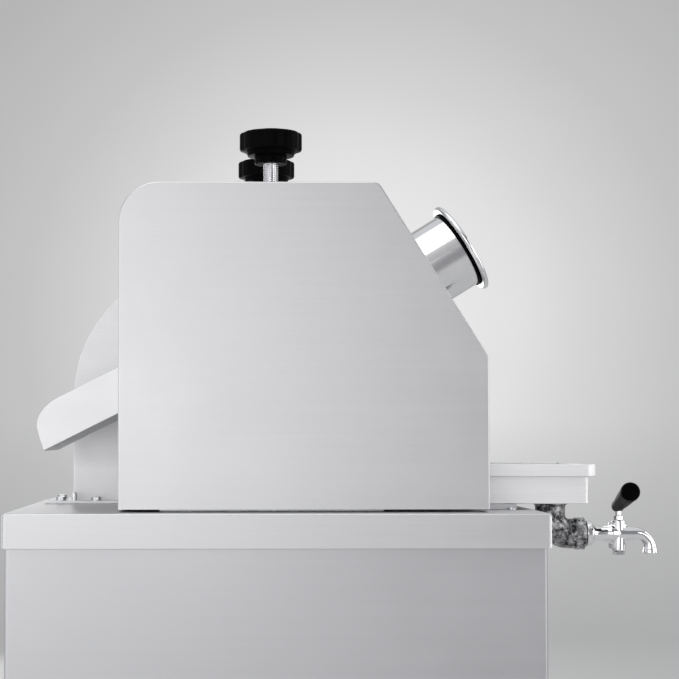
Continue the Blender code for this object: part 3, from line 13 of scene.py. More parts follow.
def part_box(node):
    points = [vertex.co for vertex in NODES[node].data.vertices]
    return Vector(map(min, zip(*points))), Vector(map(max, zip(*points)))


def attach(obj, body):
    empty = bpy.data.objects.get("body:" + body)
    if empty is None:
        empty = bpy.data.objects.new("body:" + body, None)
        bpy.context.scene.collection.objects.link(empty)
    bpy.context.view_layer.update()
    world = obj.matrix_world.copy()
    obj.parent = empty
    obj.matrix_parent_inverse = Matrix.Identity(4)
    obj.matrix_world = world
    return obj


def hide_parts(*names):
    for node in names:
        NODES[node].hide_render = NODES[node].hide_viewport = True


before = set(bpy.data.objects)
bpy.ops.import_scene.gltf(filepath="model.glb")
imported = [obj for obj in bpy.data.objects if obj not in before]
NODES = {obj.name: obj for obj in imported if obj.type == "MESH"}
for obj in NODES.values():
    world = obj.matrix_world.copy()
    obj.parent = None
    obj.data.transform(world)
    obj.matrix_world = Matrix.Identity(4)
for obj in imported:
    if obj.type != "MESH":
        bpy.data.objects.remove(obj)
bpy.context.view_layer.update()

MM = 0.001
TABLE_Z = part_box("table_top")[1].z
PRESS_Y = (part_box("feed_tube")[0].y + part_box("feed_tube")[1].y) / 2

# Axes that the CAD's boxes don't give: the tap's pipe, its barrel, and the feed tube with its mouth.
TAP_AXIS_Z = TABLE_Z - 30 * MM
BARREL_X = 307 * MM
FEED_ANGLE = math.radians(32)
FEED_MOUTH = Vector((136 * MM, PRESS_Y, TABLE_Z + 289 * MM))

# A point this near a face's level counts as on it.
ON_FACE = 0.05 * MM

# The camera stands square to the machine's near side, left of its middle and just above the table.
CAMERA_PLACE = (-0.126, -1.810, 0.7135)
CAMERA_SENSOR = 36
CAMERA_LENS = 85.62592
CAMERA_SHIFT = (0.13, 0.05)
CAMERA_PITCH = math.radians(2.35968)
CAMERA_YAW = math.radians(0.82408)

# The studio's glow: where it is brightest on the wall, and its level by distance from there.
GLOW_X = 0.43
GLOW_Z = 1.27
GLOW_REACH = 3.2
GLOW_FALL = [(0.0, 0.93), (0.77, 0.77), (1.04, 0.67), (1.45, 0.55), (2.03, 0.455), (3.2, 0.42)]
FRONT_LEFT = (0.8, 0.8, 0.8)
FRONT_RIGHT = (0.22, 0.217, 0.238)
FLOOR_COLOUR = (0.6, 0.6, 0.6)


# ---------------------------------------------------------------- shader building

def add(tree, kind, inputs=None, **settings):
    """A shader node with its settings, and its inputs linked or set."""
    made = tree.nodes.new(kind)
    for key, value in settings.items():
        setattr(made, key, value)
    for key, value in (inputs or {}).items():
        if isinstance(value, bpy.types.NodeSocket):
            tree.links.new(value, made.inputs[key])
        else:
            made.inputs[key].default_value = value
    return made


def stretched_noise(tree, stretch, detail=3.0, roughness=0.6, shift=0.0):
    """Noise in object space, scaled apart along the three axes."""
    place = add(tree, "ShaderNodeTexCoord")
    mapping = add(
        tree,
        "ShaderNodeMapping",
        {"Vector": place.outputs["Object"], "Location": (shift, shift, shift), "Scale": stretch},
    )
    noise = add(
        tree,
        "ShaderNodeTexNoise",
        {"Vector": mapping.outputs["Vector"], "Scale": 1.0, "Detail": detail, "Roughness": roughness},
    )
    return noise.outputs["Fac"]


def even_noise(tree, scale, detail=3.0, roughness=0.6, shift=0.0):
    """Noise in object space, the same along every axis."""
    return stretched_noise(tree, (scale, scale, scale), detail, roughness, shift)


def between(tree, value, low, high, start=0.25, end=0.75):
    """The value's span from start to end, mapped to low to high."""
    made = add(
        tree,
        "ShaderNodeMapRange",
        {"Value": value, "From Min": start, "From Max": end, "To Min": low, "To Max": high},
    )
    return made.outputs["Result"]


def blended(tree, factor, first, second, blend="MIX"):
    """Two colours mixed; each input is a socket or a constant."""
    made = add(tree, "ShaderNodeMix", data_type="RGBA", blend_type=blend)
    for index, value in ((0, factor), (6, first), (7, second)):
        if isinstance(value, bpy.types.NodeSocket):
            tree.links.new(value, made.inputs[index])
        elif index == 0:
            made.inputs[index].default_value = value
        else:
            made.inputs[index].default_value = (*value, 1)
    return made.outputs[2]


def summed(tree, first, second, operation="ADD"):
    """Two numbers added, or joined by another operation; each is a socket or a constant."""
    made = add(tree, "ShaderNodeMath", operation=operation)
    for index, value in ((0, first), (1, second)):
        if isinstance(value, bpy.types.NodeSocket):
            tree.links.new(value, made.inputs[index])
        else:
            made.inputs[index].default_value = value
    return made.outputs[0]


def edge_mask(tree, radius):
    """About 1 on edges and 0 on flats, from how far a rounded normal turns away."""
    rounded = add(tree, "ShaderNodeBevel", {"Radius": radius}, samples=4)
    flat = add(tree, "ShaderNodeNewGeometry")
    turned_by = add(
        tree,
        "ShaderNodeVectorMath",
        {0: rounded.outputs["Normal"], 1: flat.outputs["Normal"]},
        operation="DOT_PRODUCT",
    )
    return between(tree, turned_by.outputs["Value"], 1.0, 0.0, 0.8, 0.995)


def painted_corner_shade(tree, colour, distance, depth):
    """Darkens a colour where the surface is tucked into a corner: painted shade, from ambient occlusion."""
    corners = add(tree, "ShaderNodeAmbientOcclusion", {"Distance": distance}, samples=6)
    open_sky = between(tree, corners.outputs["AO"], 1.0 - depth, 1.0, 0.15, 0.85)
    made = add(tree, "ShaderNodeVectorMath", {0: colour, "Scale": open_sky}, operation="SCALE")
    return made.outputs["Vector"]


def bumped(tree, shader, height, strength, distance):
    """Lets a height pattern stand up from the surface."""
    bump = add(tree, "ShaderNodeBump", {"Height": height, "Strength": strength, "Distance": distance})
    tree.links.new(bump.outputs["Normal"], shader.inputs["Normal"])


def new_material(name):
    """A material, its node tree and its Principled shader."""
    material = bpy.data.materials.new(name)
    material.use_nodes = True
    return material, material.node_tree, material.node_tree.nodes["Principled BSDF"]


def brushed(name, dark, light, gloss, grain, edge=(0.9, 0.9, 0.9), bump=0.06, mottle=0.12):
    """Brushed sheet metal: grain along its long axis, cloudy mottling, wiped patches, glossier edges
    lightened as a painted highlight.
    """
    material, tree, shader = new_material(name)
    fine = stretched_noise(tree, grain, 4.0, 0.7)
    broad = stretched_noise(tree, tuple(step * 0.12 for step in grain), 2.0, 0.5, 3.0)
    cloud = even_noise(tree, 9.0, 4.0, 0.6, 7.0)
    lines = summed(tree, summed(tree, fine, 0.6, "MULTIPLY"), summed(tree, broad, 0.4, "MULTIPLY"))
    colour = blended(tree, between(tree, lines, 0.0, 1.0, 0.3, 0.7), dark, light)
    shade = add(tree, "ShaderNodeCombineColor")
    level = between(tree, cloud, 1.0 - mottle, 1.0)
    for channel in ("Red", "Green", "Blue"):
        tree.links.new(level, shade.inputs[channel])
    colour = blended(tree, 1.0, colour, shade.outputs["Color"], "MULTIPLY")
    # The edges' colour is lightened toward pale grey: a painted highlight on the bends; their lower roughness
    # is real gloss.
    mask = edge_mask(tree, 1.2 * MM)
    colour = blended(tree, summed(tree, mask, 0.75, "MULTIPLY"), colour, edge)
    tree.links.new(colour, shader.inputs["Base Color"])
    low, high = gloss
    rough = summed(tree, between(tree, lines, low, high, 0.3, 0.7), between(tree, cloud, -0.03, 0.04))
    rough = summed(tree, rough, summed(tree, mask, -0.12, "MULTIPLY"))
    tree.links.new(rough, shader.inputs["Roughness"])
    shader.inputs["Metallic"].default_value = 1.0
    bumped(tree, shader, lines, bump, 0.3 * MM)
    return material


def polished(name, colour, gloss, smear=0.05, grain=(90.0, 90.0, 90.0)):
    """Polished or plated metal: faint lines, smears of handling in its gloss."""
    material, tree, shader = new_material(name)
    lines = stretched_noise(tree, grain, 3.0, 0.6)
    cloud = even_noise(tree, 60.0, 4.0, 0.65, 2.0)
    low, high = gloss
    rough = summed(tree, between(tree, lines, low, high), between(tree, cloud, 0.0, smear, 0.5, 0.8))
    tree.links.new(rough, shader.inputs["Roughness"])
    worn = tuple(channel * 0.9 for channel in colour)
    shade = blended(tree, between(tree, cloud, 0.0, 1.0), worn, colour)
    # Painted shade: the colour darkens in grooves and corners, as at the collars and behind the lip.
    tree.links.new(painted_corner_shade(tree, shade, 5 * MM, 0.9), shader.inputs["Base Color"])
    shader.inputs["Metallic"].default_value = 1.0
    bumped(tree, shader, lines, 0.03, 0.2 * MM)
    return material


def cast(name, dark, light, gloss, metallic=0.7):
    """Sand-cast metal: a pebbled skin, painted shade in the hollows, edges rubbed bright."""
    material, tree, shader = new_material(name)
    grit = even_noise(tree, 700.0, 5.0, 0.7)
    cloud = even_noise(tree, 120.0, 5.0, 0.7, 5.0)
    colour = blended(tree, between(tree, cloud, 0.0, 1.0, 0.42, 0.64), dark, light)
    mask = summed(tree, edge_mask(tree, 1.0 * MM), between(tree, cloud, 0.1, 0.7), "MULTIPLY")
    rubbed = tuple(min(1.0, channel * 3.0) for channel in light)
    colour = blended(tree, mask, colour, rubbed)
    # Painted shade: the colour darkens in deep hollows and under overhangs, as under the tray.
    tree.links.new(painted_corner_shade(tree, colour, 25 * MM, 0.95), shader.inputs["Base Color"])
    low, high = gloss
    tree.links.new(between(tree, grit, low, high), shader.inputs["Roughness"])
    shader.inputs["Metallic"].default_value = metallic
    bumped(tree, shader, grit, 0.5, 0.4 * MM)
    return material


def machined(name, dark, light, gloss, grain):
    """Turned or milled steel: fine tool lines, an oily film in patches, bright edges."""
    material, tree, shader = new_material(name)
    lines = stretched_noise(tree, grain, 3.0, 0.6)
    film = even_noise(tree, 45.0, 4.0, 0.6, 9.0)
    colour = blended(tree, between(tree, film, 0.0, 1.0), dark, light)
    mask = edge_mask(tree, 0.8 * MM)
    colour = blended(tree, summed(tree, mask, 0.5, "MULTIPLY"), colour, (0.8, 0.8, 0.82))
    tree.links.new(colour, shader.inputs["Base Color"])
    low, high = gloss
    rough = summed(tree, between(tree, lines, low, high), between(tree, film, -0.06, 0.06))
    tree.links.new(rough, shader.inputs["Roughness"])
    shader.inputs["Metallic"].default_value = 1.0
    bumped(tree, shader, lines, 0.15, 0.3 * MM)
    return material


def moulded(name, colour, gloss, pebble=0.1, scale=900.0, sheen=0.5, dust=0.012):
    """Moulded plastic or rubber: a faint pebbled skin, dust and wear on its edges."""
    material, tree, shader = new_material(name)
    skin = even_noise(tree, scale, 3.0, 0.6)
    cloud = even_noise(tree, 55.0, 4.0, 0.6, 4.0)
    pale = tuple(min(1.0, channel * 1.5 + dust) for channel in colour)
    dusty = blended(tree, between(tree, cloud, 0.0, 0.7), colour, pale)
    mask = summed(tree, edge_mask(tree, 0.8 * MM), 0.35, "MULTIPLY")
    tree.links.new(blended(tree, mask, dusty, pale), shader.inputs["Base Color"])
    low, high = gloss
    rough = summed(tree, between(tree, skin, low, high), between(tree, cloud, -0.05, 0.06))
    tree.links.new(rough, shader.inputs["Roughness"])
    shader.inputs["Specular IOR Level"].default_value = sheen
    bumped(tree, shader, skin, pebble, 0.2 * MM)
    return material


def enamel(name, colour, gloss):
    """Machine enamel over a casting: soft orange peel, edges chipped toward primer."""
    material, tree, shader = new_material(name)
    peel = even_noise(tree, 260.0, 2.0, 0.5)
    cloud = even_noise(tree, 40.0, 4.0, 0.65, 6.0)
    deep = tuple(channel * 0.75 for channel in colour)
    shade = blended(tree, between(tree, cloud, 0.0, 1.0), deep, colour)
    chips = summed(tree, edge_mask(tree, 1.0 * MM), between(tree, cloud, 0.0, 1.0, 0.5, 0.62), "MULTIPLY")
    tree.links.new(blended(tree, chips, shade, (0.28, 0.29, 0.3)), shader.inputs["Base Color"])
    low, high = gloss
    tree.links.new(between(tree, cloud, low, high), shader.inputs["Roughness"])
    shader.inputs["Coat Weight"].default_value = 0.25
    bumped(tree, shader, peel, 0.12, 0.4 * MM)
    return material


# How far noise is drawn out along each axis, per metre: small numbers run the grain that way.
PANEL_GRAIN = (12.0, 12.0, 900.0)
TABLE_GRAIN = (12.0, 900.0, 900.0)
CASE_GRAIN = (60.0, 60.0, 500.0)
BRIGHT_GRAIN = (14.0, 700.0, 700.0)
TRAY_GRAIN = (10.0, 800.0, 800.0)
TUBE_GRAIN = (14.0, 500.0, 500.0)
ROLLER_GRAIN = (500.0, 14.0, 500.0)
TOOL_GRAIN = (400.0, 30.0, 400.0)
FINE_GRAIN = (120.0, 120.0, 120.0)

PANEL = brushed(
    "panel_sheet", (0.62, 0.62, 0.63), (0.665, 0.665, 0.675), (0.36, 0.42), PANEL_GRAIN, mottle=0.05
)
# A darker copy of the panel sheet: painted shade on the cabinet below the table.
CABINET_SHADED = brushed(
    "cabinet_sheet_shaded", (0.535, 0.535, 0.55), (0.565, 0.565, 0.58), (0.36, 0.42), PANEL_GRAIN, mottle=0.04
)
TABLE = brushed(
    "table_sheet", (0.63, 0.63, 0.64), (0.69, 0.69, 0.70), (0.38, 0.46), TABLE_GRAIN, mottle=0.07
)
CASE = brushed(
    "case_sheet", (0.65, 0.65, 0.66), (0.76, 0.76, 0.77), (0.36, 0.48), CASE_GRAIN, mottle=0.2
)
BRIGHT = brushed("bright_sheet", (0.68, 0.68, 0.69), (0.74, 0.74, 0.75), (0.36, 0.44), BRIGHT_GRAIN)
TRAY = brushed(
    "tray_sheet", (0.86, 0.86, 0.86), (0.94, 0.94, 0.94), (0.46, 0.56), TRAY_GRAIN, mottle=0.05
)
TUBE = polished("polished_tube", (0.88, 0.88, 0.885), (0.09, 0.15), 0.04, TUBE_GRAIN)
ROLLER = polished("roller_steel", (0.72, 0.72, 0.73), (0.2, 0.3), 0.1, ROLLER_GRAIN)
CHROME = polished("chrome_plate", (0.9, 0.9, 0.905), (0.045, 0.08), 0.04)
STEEL = machined("machined_steel", (0.42, 0.43, 0.45), (0.58, 0.59, 0.61), (0.26, 0.38), TOOL_GRAIN)
ZINC = machined("zinc_steel", (0.55, 0.56, 0.58), (0.7, 0.71, 0.73), (0.2, 0.3), FINE_GRAIN)
BRIGHT_STEEL = machined("bright_steel", (0.78, 0.78, 0.79), (0.9, 0.9, 0.91), (0.14, 0.22), FINE_GRAIN)
IRON = cast("cast_iron", (0.055, 0.056, 0.06), (0.1, 0.1, 0.105), (0.45, 0.62))
ELBOW = cast("cast_elbow", (0.03, 0.03, 0.032), (0.7, 0.7, 0.71), (0.22, 0.38), 0.85)
PAINT = enamel("motor_enamel", (0.12, 0.2, 0.32), (0.28, 0.42))
RUBBER = moulded("rubber", (0.02, 0.02, 0.02), (0.68, 0.82), 0.3, 500.0)
BLACK = moulded("black_plastic", (0.001, 0.001, 0.001), (0.3, 0.42), 0.05, 900.0, 0.02, 0.002)
DARK = moulded("panel_plastic", (0.03, 0.03, 0.032), (0.42, 0.52), 0.15)
RED = moulded("red_plastic", (0.6, 0.02, 0.018), (0.25, 0.35), 0.06)
HUB = moulded("hub_plastic", (0.16, 0.165, 0.17), (0.4, 0.5), 0.2)


# ---------------------------------------------------------------- mesh building

def show(name, shape, material, body, replaces=(), angle=35):
    """Makes a piece of this shape, riding on its body, in place of any CAD nodes named."""
    bmesh.ops.recalc_face_normals(shape, faces=shape.faces)
    mesh = bpy.data.meshes.new(name)
    shape.to_mesh(mesh)
    shape.free()
    mesh.shade_smooth()
    mesh.set_sharp_from_angle(angle=math.radians(angle))
    mesh.materials.append(material)
    piece = bpy.data.objects.new(name, mesh)
    bpy.context.scene.collection.objects.link(piece)
    even = piece.modifiers.new("even_shading", "WEIGHTED_NORMAL")
    even.keep_sharp = True
    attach(piece, body)
    if replaces:
        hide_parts(*replaces)
    return piece


def softened(node, width, segments=2, picks=lambda edge: True, angle=30):
    """The shape of a CAD node with its sharp edges rounded."""
    shape = bmesh.new()
    shape.from_mesh(NODES[node].data)
    bmesh.ops.remove_doubles(shape, verts=shape.verts, dist=0.002 * MM)
    bmesh.ops.dissolve_limit(shape, angle_limit=math.radians(0.4), verts=shape.verts, edges=shape.edges)
    sharp = [
        edge
        for edge in shape.edges
        if len(edge.link_faces) == 2 and edge.calc_face_angle() > math.radians(angle) and picks(edge)
    ]
    bmesh.ops.bevel(
        shape, geom=sharp, offset=width, segments=segments, profile=0.5, affect="EDGES", clamp_overlap=True
    )
    return shape


def frame_on(direction):
    """The turn that takes +Z to a direction."""
    return Vector((0, 0, 1)).rotation_difference(Vector(direction)).to_matrix().to_4x4()


def join_rings(shape, rings, closed=False, caps=True):
    """Skins loops of points, each a list, into a tube."""
    loops = [[shape.verts.new(point) for point in ring] for ring in rings]
    count = len(loops[0])
    pairs = list(zip(loops, loops[1:]))
    if closed:
        pairs.append((loops[-1], loops[0]))
    for first, second in pairs:
        for index in range(count):
            after = (index + 1) % count
            shape.faces.new((first[index], first[after], second[after], second[index]))
    if caps and not closed:
        shape.faces.new(loops[0][::-1])
        shape.faces.new(loops[-1])


def turned(shape, profile, origin, direction, steps=48, closed=True):
    """Spins a profile of (radius, height) about an axis; an open one has its ends capped."""
    turn = Matrix.Translation(origin) @ frame_on(direction)
    rings = []
    for radius, height in profile:
        rings.append(
            [
                turn
                @ Vector(
                    (
                        radius * math.cos(math.tau * step / steps),
                        radius * math.sin(math.tau * step / steps),
                        height,
                    )
                )
                for step in range(steps)
            ]
        )
    join_rings(shape, rings, closed)


def swept(shape, path, radius, steps=10, closed=False, side=Vector((0, 1, 0))):
    """A round bead along a path of points."""
    rings = []
    count = len(path)
    for index, point in enumerate(path):
        before = path[(index - 1) % count] if closed or index else path[index]
        after = path[(index + 1) % count] if closed or index < count - 1 else path[index]
        along = (Vector(after) - Vector(before)).normalized()
        across = side - along * side.dot(along)
        across.normalize()
        up = along.cross(across)
        reach = radius(index / (count - 1)) if callable(radius) else radius
        rings.append(
            [
                Vector(point)
                + across * (reach * math.cos(math.tau * step / steps))
                + up * (reach * math.sin(math.tau * step / steps))
                for step in range(steps)
            ]
        )
    join_rings(shape, rings, closed)


def hex_head(shape, place, direction, across, height):
    """A hexagon bolt head with a chamfered crown, on its washer."""
    radius = across / math.sqrt(3)
    washer = [(radius * 1.22, 0), (radius * 1.22, height * 0.16), (radius * 1.16, height * 0.2)]
    turned(shape, [(0.1 * MM, 0), *washer, (0.1 * MM, height * 0.2)], place, direction, 28, False)
    head = [
        (radius, height * 0.2),
        (radius, height * 0.85),
        (radius * 0.84, height),
        (radius * 0.5, height),
        (radius * 0.46, height * 0.94),
    ]
    turned(shape, head, place, direction, 6, False)


def pan_head(shape, place, direction, radius):
    """A low domed screw head with a hexagon socket."""
    dome = [
        (radius, 0),
        (radius, radius * 0.12),
        (radius * 0.93, radius * 0.34),
        (radius * 0.76, radius * 0.52),
        (radius * 0.55, radius * 0.6),
    ]
    socket = [(radius * 0.45, radius * 0.6), (radius * 0.42, radius * 0.2)]
    turned(shape, [*dome, *socket], place, direction, 24, False)


def heads(name, kind, places, direction, size, body, material=ZINC):
    """A set of like fasteners as one piece."""
    shape = bmesh.new()
    for place in places:
        if kind == "hex":
            hex_head(shape, place, direction, size, size * 0.42)
        else:
            pan_head(shape, place, direction, size)
    show(name, shape, material, body)


def arc(centre_u, centre_v, radius, start, end, steps):
    """Points (u, v) along an arc, from one angle to another in degrees."""
    turns = [math.radians(start + (end - start) * step / steps) for step in range(steps + 1)]
    return [(centre_u + radius * math.cos(turn), centre_v + radius * math.sin(turn)) for turn in turns]


# ---------------------------------------------------------------- pieces

def dress_nodes():
    """Gives every CAD node that stays in view its procedural material."""
    looks = {
        CABINET_SHADED: ["cabinet_floor", "vent_panel"],
        PANEL: ["tray_guide", "door_hinge"],
        ROLLER: ["top_roller", "front_roller", "rear_roller"],
        TRAY: ["strainer"],
        CHROME: ["door_latch", "tap_plug", "tap_nut"],
        STEEL: [
            "motor_pulley", "frame_plate_near", "frame_plate_far", "trash_turner", "top_roller_gear",
            "front_roller_gear", "rear_roller_gear", "pinion", "jackshaft",
        ],
        ZINC: ["frame_cap_near", "frame_cap_far"],
        IRON: [
            "motor_gearbox", "driven_pulley", "bearing_block_near", "bearing_block_far", "bull_gear",
            "jackshaft_bearing",
        ],
        PAINT: ["motor_body", "motor_fan_cover"],
        RUBBER: ["drive_belt"],
        BLACK: ["cord_gland"],
        RED: ["stop_button"],
    }
    for material, names in looks.items():
        for name in names:
            mesh = NODES[name].data
            mesh.materials.clear()
            mesh.materials.append(material)
    for name in NODES:
        if "castor_fork" in name:
            NODES[name].data.materials.clear()
            NODES[name].data.materials.append(ZINC)


def make_hood():
    """The hood, with the outer edges of its two side faces rolled over."""
    low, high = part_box("hood")

    def outside(edge):
        on_face = any(
            all(abs(vert.co.y - level) < ON_FACE for vert in edge.verts) for level in (low.y, high.y)
        )
        return on_face and not all(vert.co.z < low.z + ON_FACE for vert in edge.verts)

    shape = softened("hood", 1.7 * MM, 4, outside)
    show("hood_shell", shape, PANEL, "stand", ["hood"], 30)


def make_table():
    """The table with its rolled edges, and the welds at the corners of its folded skirt."""
    low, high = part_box("table_top")
    show("table_sheet", softened("table_top", 1.4 * MM, 4), TABLE, "stand", ["table_top"])
    inset = 1.2 * MM
    shape = bmesh.new()
    for x, y in ((low.x, low.y), (low.x, high.y), (high.x, low.y), (high.x, high.y)):
        inward = Vector((math.copysign(inset, -x), math.copysign(inset, -y), 0))
        place = Vector((x, y, 0)) + inward
        path = [place + Vector((0, 0, low.z + 1 * MM)), place + Vector((0, 0, TABLE_Z - 3 * MM))]
        swept(shape, path, 0.9 * MM, 8, side=Vector((1, 0, 0)))
    show("table_corner_welds", shape, TABLE, "stand")


def make_cabinet():
    """The cabinet's shell and door, and the screws along its foot."""
    low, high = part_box("cabinet_body")
    shell = softened("cabinet_body", 0.5 * MM, 2)
    show("cabinet_shell", shell, CABINET_SHADED, "stand", ["cabinet_body"])
    door = softened("cabinet_door", 0.7 * MM, 2)
    show("door_sheet", door, CABINET_SHADED, "door", ["cabinet_door"])
    level = low.z + 12 * MM
    inset = 14 * MM
    for side, y, way in (("near", low.y, -1), ("far", high.y, 1)):
        places = [Vector((x, y, level)) for x in (low.x + inset, (low.x + high.x) / 2, high.x - inset)]
        heads(f"cabinet_foot_screws_{side}", "pan", places, (0, way, 0), 4 * MM, "stand")


def make_vent_screws():
    """A screw in each corner of the vent panel."""
    low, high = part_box("vent_panel")
    edge = 6 * MM
    places = [
        Vector((low.x, y, z)) for y in (low.y + edge, high.y - edge) for z in (low.z + edge, high.z - edge)
    ]
    heads("vent_screws", "pan", places, (-1, 0, 0), 3.2 * MM, "stand")


def make_hinge_screws():
    """Screws down the hinge's fixed leaf."""
    low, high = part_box("door_hinge")
    width = 7 * MM
    levels = [low.z + (high.z - low.z) * share for share in (0.06, 0.28, 0.5, 0.72, 0.94)]
    places = [Vector((high.x - 3.9 * MM, high.y - width, z)) for z in levels]
    heads("hinge_screws", "pan", places, (1, 0, 0), 2.6 * MM, "stand")


def make_gear_case():
    """The gear case and its cover, with their fasteners."""
    low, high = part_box("gear_case")
    front = high.y - 78 * MM
    flange = low.z + 5 * MM

    def outside(edge):
        return all(abs(vert.co.y - front) < ON_FACE and vert.co.z > flange for vert in edge.verts)

    shell = softened("gear_case", 1.6 * MM, 3, outside)
    show("case_shell", shell, CASE, "stand", ["gear_case"])
    cover = softened("gear_case_lid", 0.6 * MM, 2)
    show("case_cover", cover, CASE, "stand", ["gear_case_lid"])
    make_case_screws()
    make_case_foot_bolts()


def case_path(inset, foot):
    """The case's side outline, drawn in by an inset, from foot to foot."""
    low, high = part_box("gear_case_lid")
    big = 152.6 * MM
    small = 40 * MM
    path = [(low.x + inset, foot)]
    path += arc(low.x + big, high.z - big, big - inset, 180, 90, 28)
    path += arc(high.x - small, high.z - small, small - inset, 90, 0, 8)
    path += [(high.x - inset, foot)]
    return path


def make_case_screws():
    """The cover's screws, evenly round its edge."""
    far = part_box("gear_case_lid")[1].y
    path = case_path(9 * MM, TABLE_Z + 18 * MM)
    spots = [Vector((x, far, z)) for x, z in path]
    lengths = [0.0]
    for first, second in zip(spots, spots[1:]):
        lengths.append(lengths[-1] + (second - first).length)
    count = 11
    places = []
    for index in range(count):
        wanted = lengths[-1] * index / (count - 1)
        at = max(i for i in range(len(lengths)) if lengths[i] <= wanted + 1e-9)
        if at == len(spots) - 1:
            places.append(spots[-1])
            continue
        share = (wanted - lengths[at]) / (lengths[at + 1] - lengths[at])
        places.append(spots[at].lerp(spots[at + 1], share))
    heads("case_cover_screws", "pan", places, (0, 1, 0), 3.6 * MM, "stand")


def make_case_foot_bolts():
    """Bolts through the case's feet, and the stud that stands beside its near one."""
    flange = TABLE_Z + 3.3 * MM
    spots = [(-320, 75), (-326, 150), (-279, 71), (75, 118), (75, 160)]
    places = [Vector((x * MM, y * MM, flange)) for x, y in spots]
    heads("case_foot_bolts", "hex", places, (0, 0, 1), 10 * MM, "stand")
    shape = bmesh.new()
    post = [(3 * MM, 0), (3 * MM, 8 * MM), (2.4 * MM, 9.5 * MM)]
    turned(shape, post, Vector((-304 * MM, 70 * MM, flange)), (0, 0, 1), 20, False)
    show("case_foot_stud", shape, ZINC, "stand")


def make_chute():
    """The folded discharge chute."""
    shape = softened("discharge_chute", 0.8 * MM, 2)
    show("chute_sheet", shape, BRIGHT, "stand", ["discharge_chute"])


def make_feed_tube():
    """The feed tube with its rolled lip, and a black ring behind the lip: painted shadow under the lip."""
    lip_r = 52.8 * MM
    tube_r = 43.5 * MM
    bore_r = 41.5 * MM
    length = 128 * MM
    bead = 3 * MM
    axis = Vector((math.cos(FEED_ANGLE), 0, math.sin(FEED_ANGLE)))
    profile = [
        (bore_r, -length),
        (bore_r + 1 * MM, -length - 0.3 * MM),
        (tube_r, -length),
        (tube_r, -2 * bead - 1.5 * MM),
        (tube_r + 0.5 * MM, -2 * bead - 0.4 * MM),
        (tube_r + 1.6 * MM, -2 * bead),
        *arc(lip_r - bead, -bead, bead, -90, 90, 10),
        (bore_r + 3 * MM, -0.2 * MM),
        (bore_r + 0.8 * MM, -1.2 * MM),
        (bore_r, -3 * MM),
    ]
    shape = bmesh.new()
    turned(shape, profile, FEED_MOUTH, axis, 96)
    show("feed_tube_skin", shape, TUBE, "stand", ["feed_tube"], 40)
    section = [
        (tube_r - 0.3 * MM, -9.2 * MM),
        (tube_r + 1.9 * MM, -8.6 * MM),
        (tube_r + 2.2 * MM, -6.6 * MM),
        (tube_r + 1.2 * MM, -6.1 * MM),
        (tube_r - 0.3 * MM, -6.1 * MM),
    ]
    # A black ring behind the lip: painted shadow where the lip overhangs the tube.
    shadow_ring = bmesh.new()
    turned(shadow_ring, section, FEED_MOUTH, axis, 96)
    show("feed_tube_shadow_ring", shadow_ring, BLACK, "stand")


def make_knobs():
    """Fluted clamping knobs with a domed crown, and threaded screws under them."""
    for side in ("near", "far"):
        low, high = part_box(f"pressure_knob_{side}")
        screw_low, screw_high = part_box(f"pressure_screw_{side}")
        centre = (low + high) / 2
        make_knob(side, centre, low.z, high.z)
        make_thread(side, centre, screw_low.z, screw_high.z)


def make_knob(side, centre, foot, top):
    """One knob: a hub, a skirt that swells to the rim, and shallow flutes round the rim."""
    lobes = 8
    steps = 14 * lobes
    radius = 32.8 * MM
    hub = 17 * MM
    bore = 8.3 * MM
    lobe = 1.5 * MM
    rim = foot + 13.5 * MM
    crown = top - 3 * MM
    profile = [
        (bore, top - 10 * MM, 0),
        (bore, foot, 0),
        (hub - 0.8 * MM, foot, 0),
        (hub, foot + 0.8 * MM, 0),
        (hub, foot + 8 * MM, 0),
        (0.74 * radius, foot + 8.4 * MM, 0),
        (0.8 * radius, rim - 0.3 * MM, 0.4),
        (radius - 2.2 * MM, rim, 1),
        (radius - 0.7 * MM, rim + 0.6 * MM, 1),
        (radius, rim + 2 * MM, 1),
        (radius, crown - 0.8 * MM, 1),
        (radius - 0.5 * MM, crown + 0.6 * MM, 1),
        (radius - 1.8 * MM, crown + 1.4 * MM, 1),
        (radius * 0.86, crown + 2.2 * MM, 0.5),
        (radius * 0.7, top, 0),
        (radius * 0.4, top, 0),
    ]
    rings = []
    for reach, z, share in profile:
        ring = []
        for step in range(steps):
            turn = math.tau * step / steps
            dip = lobe * share * (0.5 - 0.5 * math.cos(lobes * turn)) ** 3
            out = reach - dip
            ring.append(Vector((centre.x + out * math.cos(turn), centre.y + out * math.sin(turn), z)))
        rings.append(ring)
    shape = bmesh.new()
    join_rings(shape, rings)
    body = f"{side}_screw"
    show(f"knob_{side}", shape, BLACK, body, [f"pressure_knob_{side}"], 40)


def make_thread(side, centre, foot, top):
    """A 16 mm stud with a 2 mm pitch, its ridges wound as one helix."""
    pitch = 2 * MM
    crest = 7.95 * MM
    root = 6.75 * MM
    steps = 24
    rows = int((top - foot) / pitch * 4)
    rings = []
    for row in range(rows + 1):
        z = foot + (top - foot) * row / rows
        ring = []
        for step in range(steps):
            turn = math.tau * step / steps
            phase = (z / pitch - step / steps) % 1.0
            height = 1.0 - abs(2.0 * phase - 1.0)
            reach = root + (crest - root) * min(1.0, height * 1.15)
            ring.append(Vector((centre.x + reach * math.cos(turn), centre.y + reach * math.sin(turn), z)))
        rings.append(ring)
    shape = bmesh.new()
    join_rings(shape, rings)
    body = f"{side}_screw"
    node = f"pressure_screw_{side}"
    show(f"threaded_stud_{side}", shape, BRIGHT_STEEL, body, [node], 60)


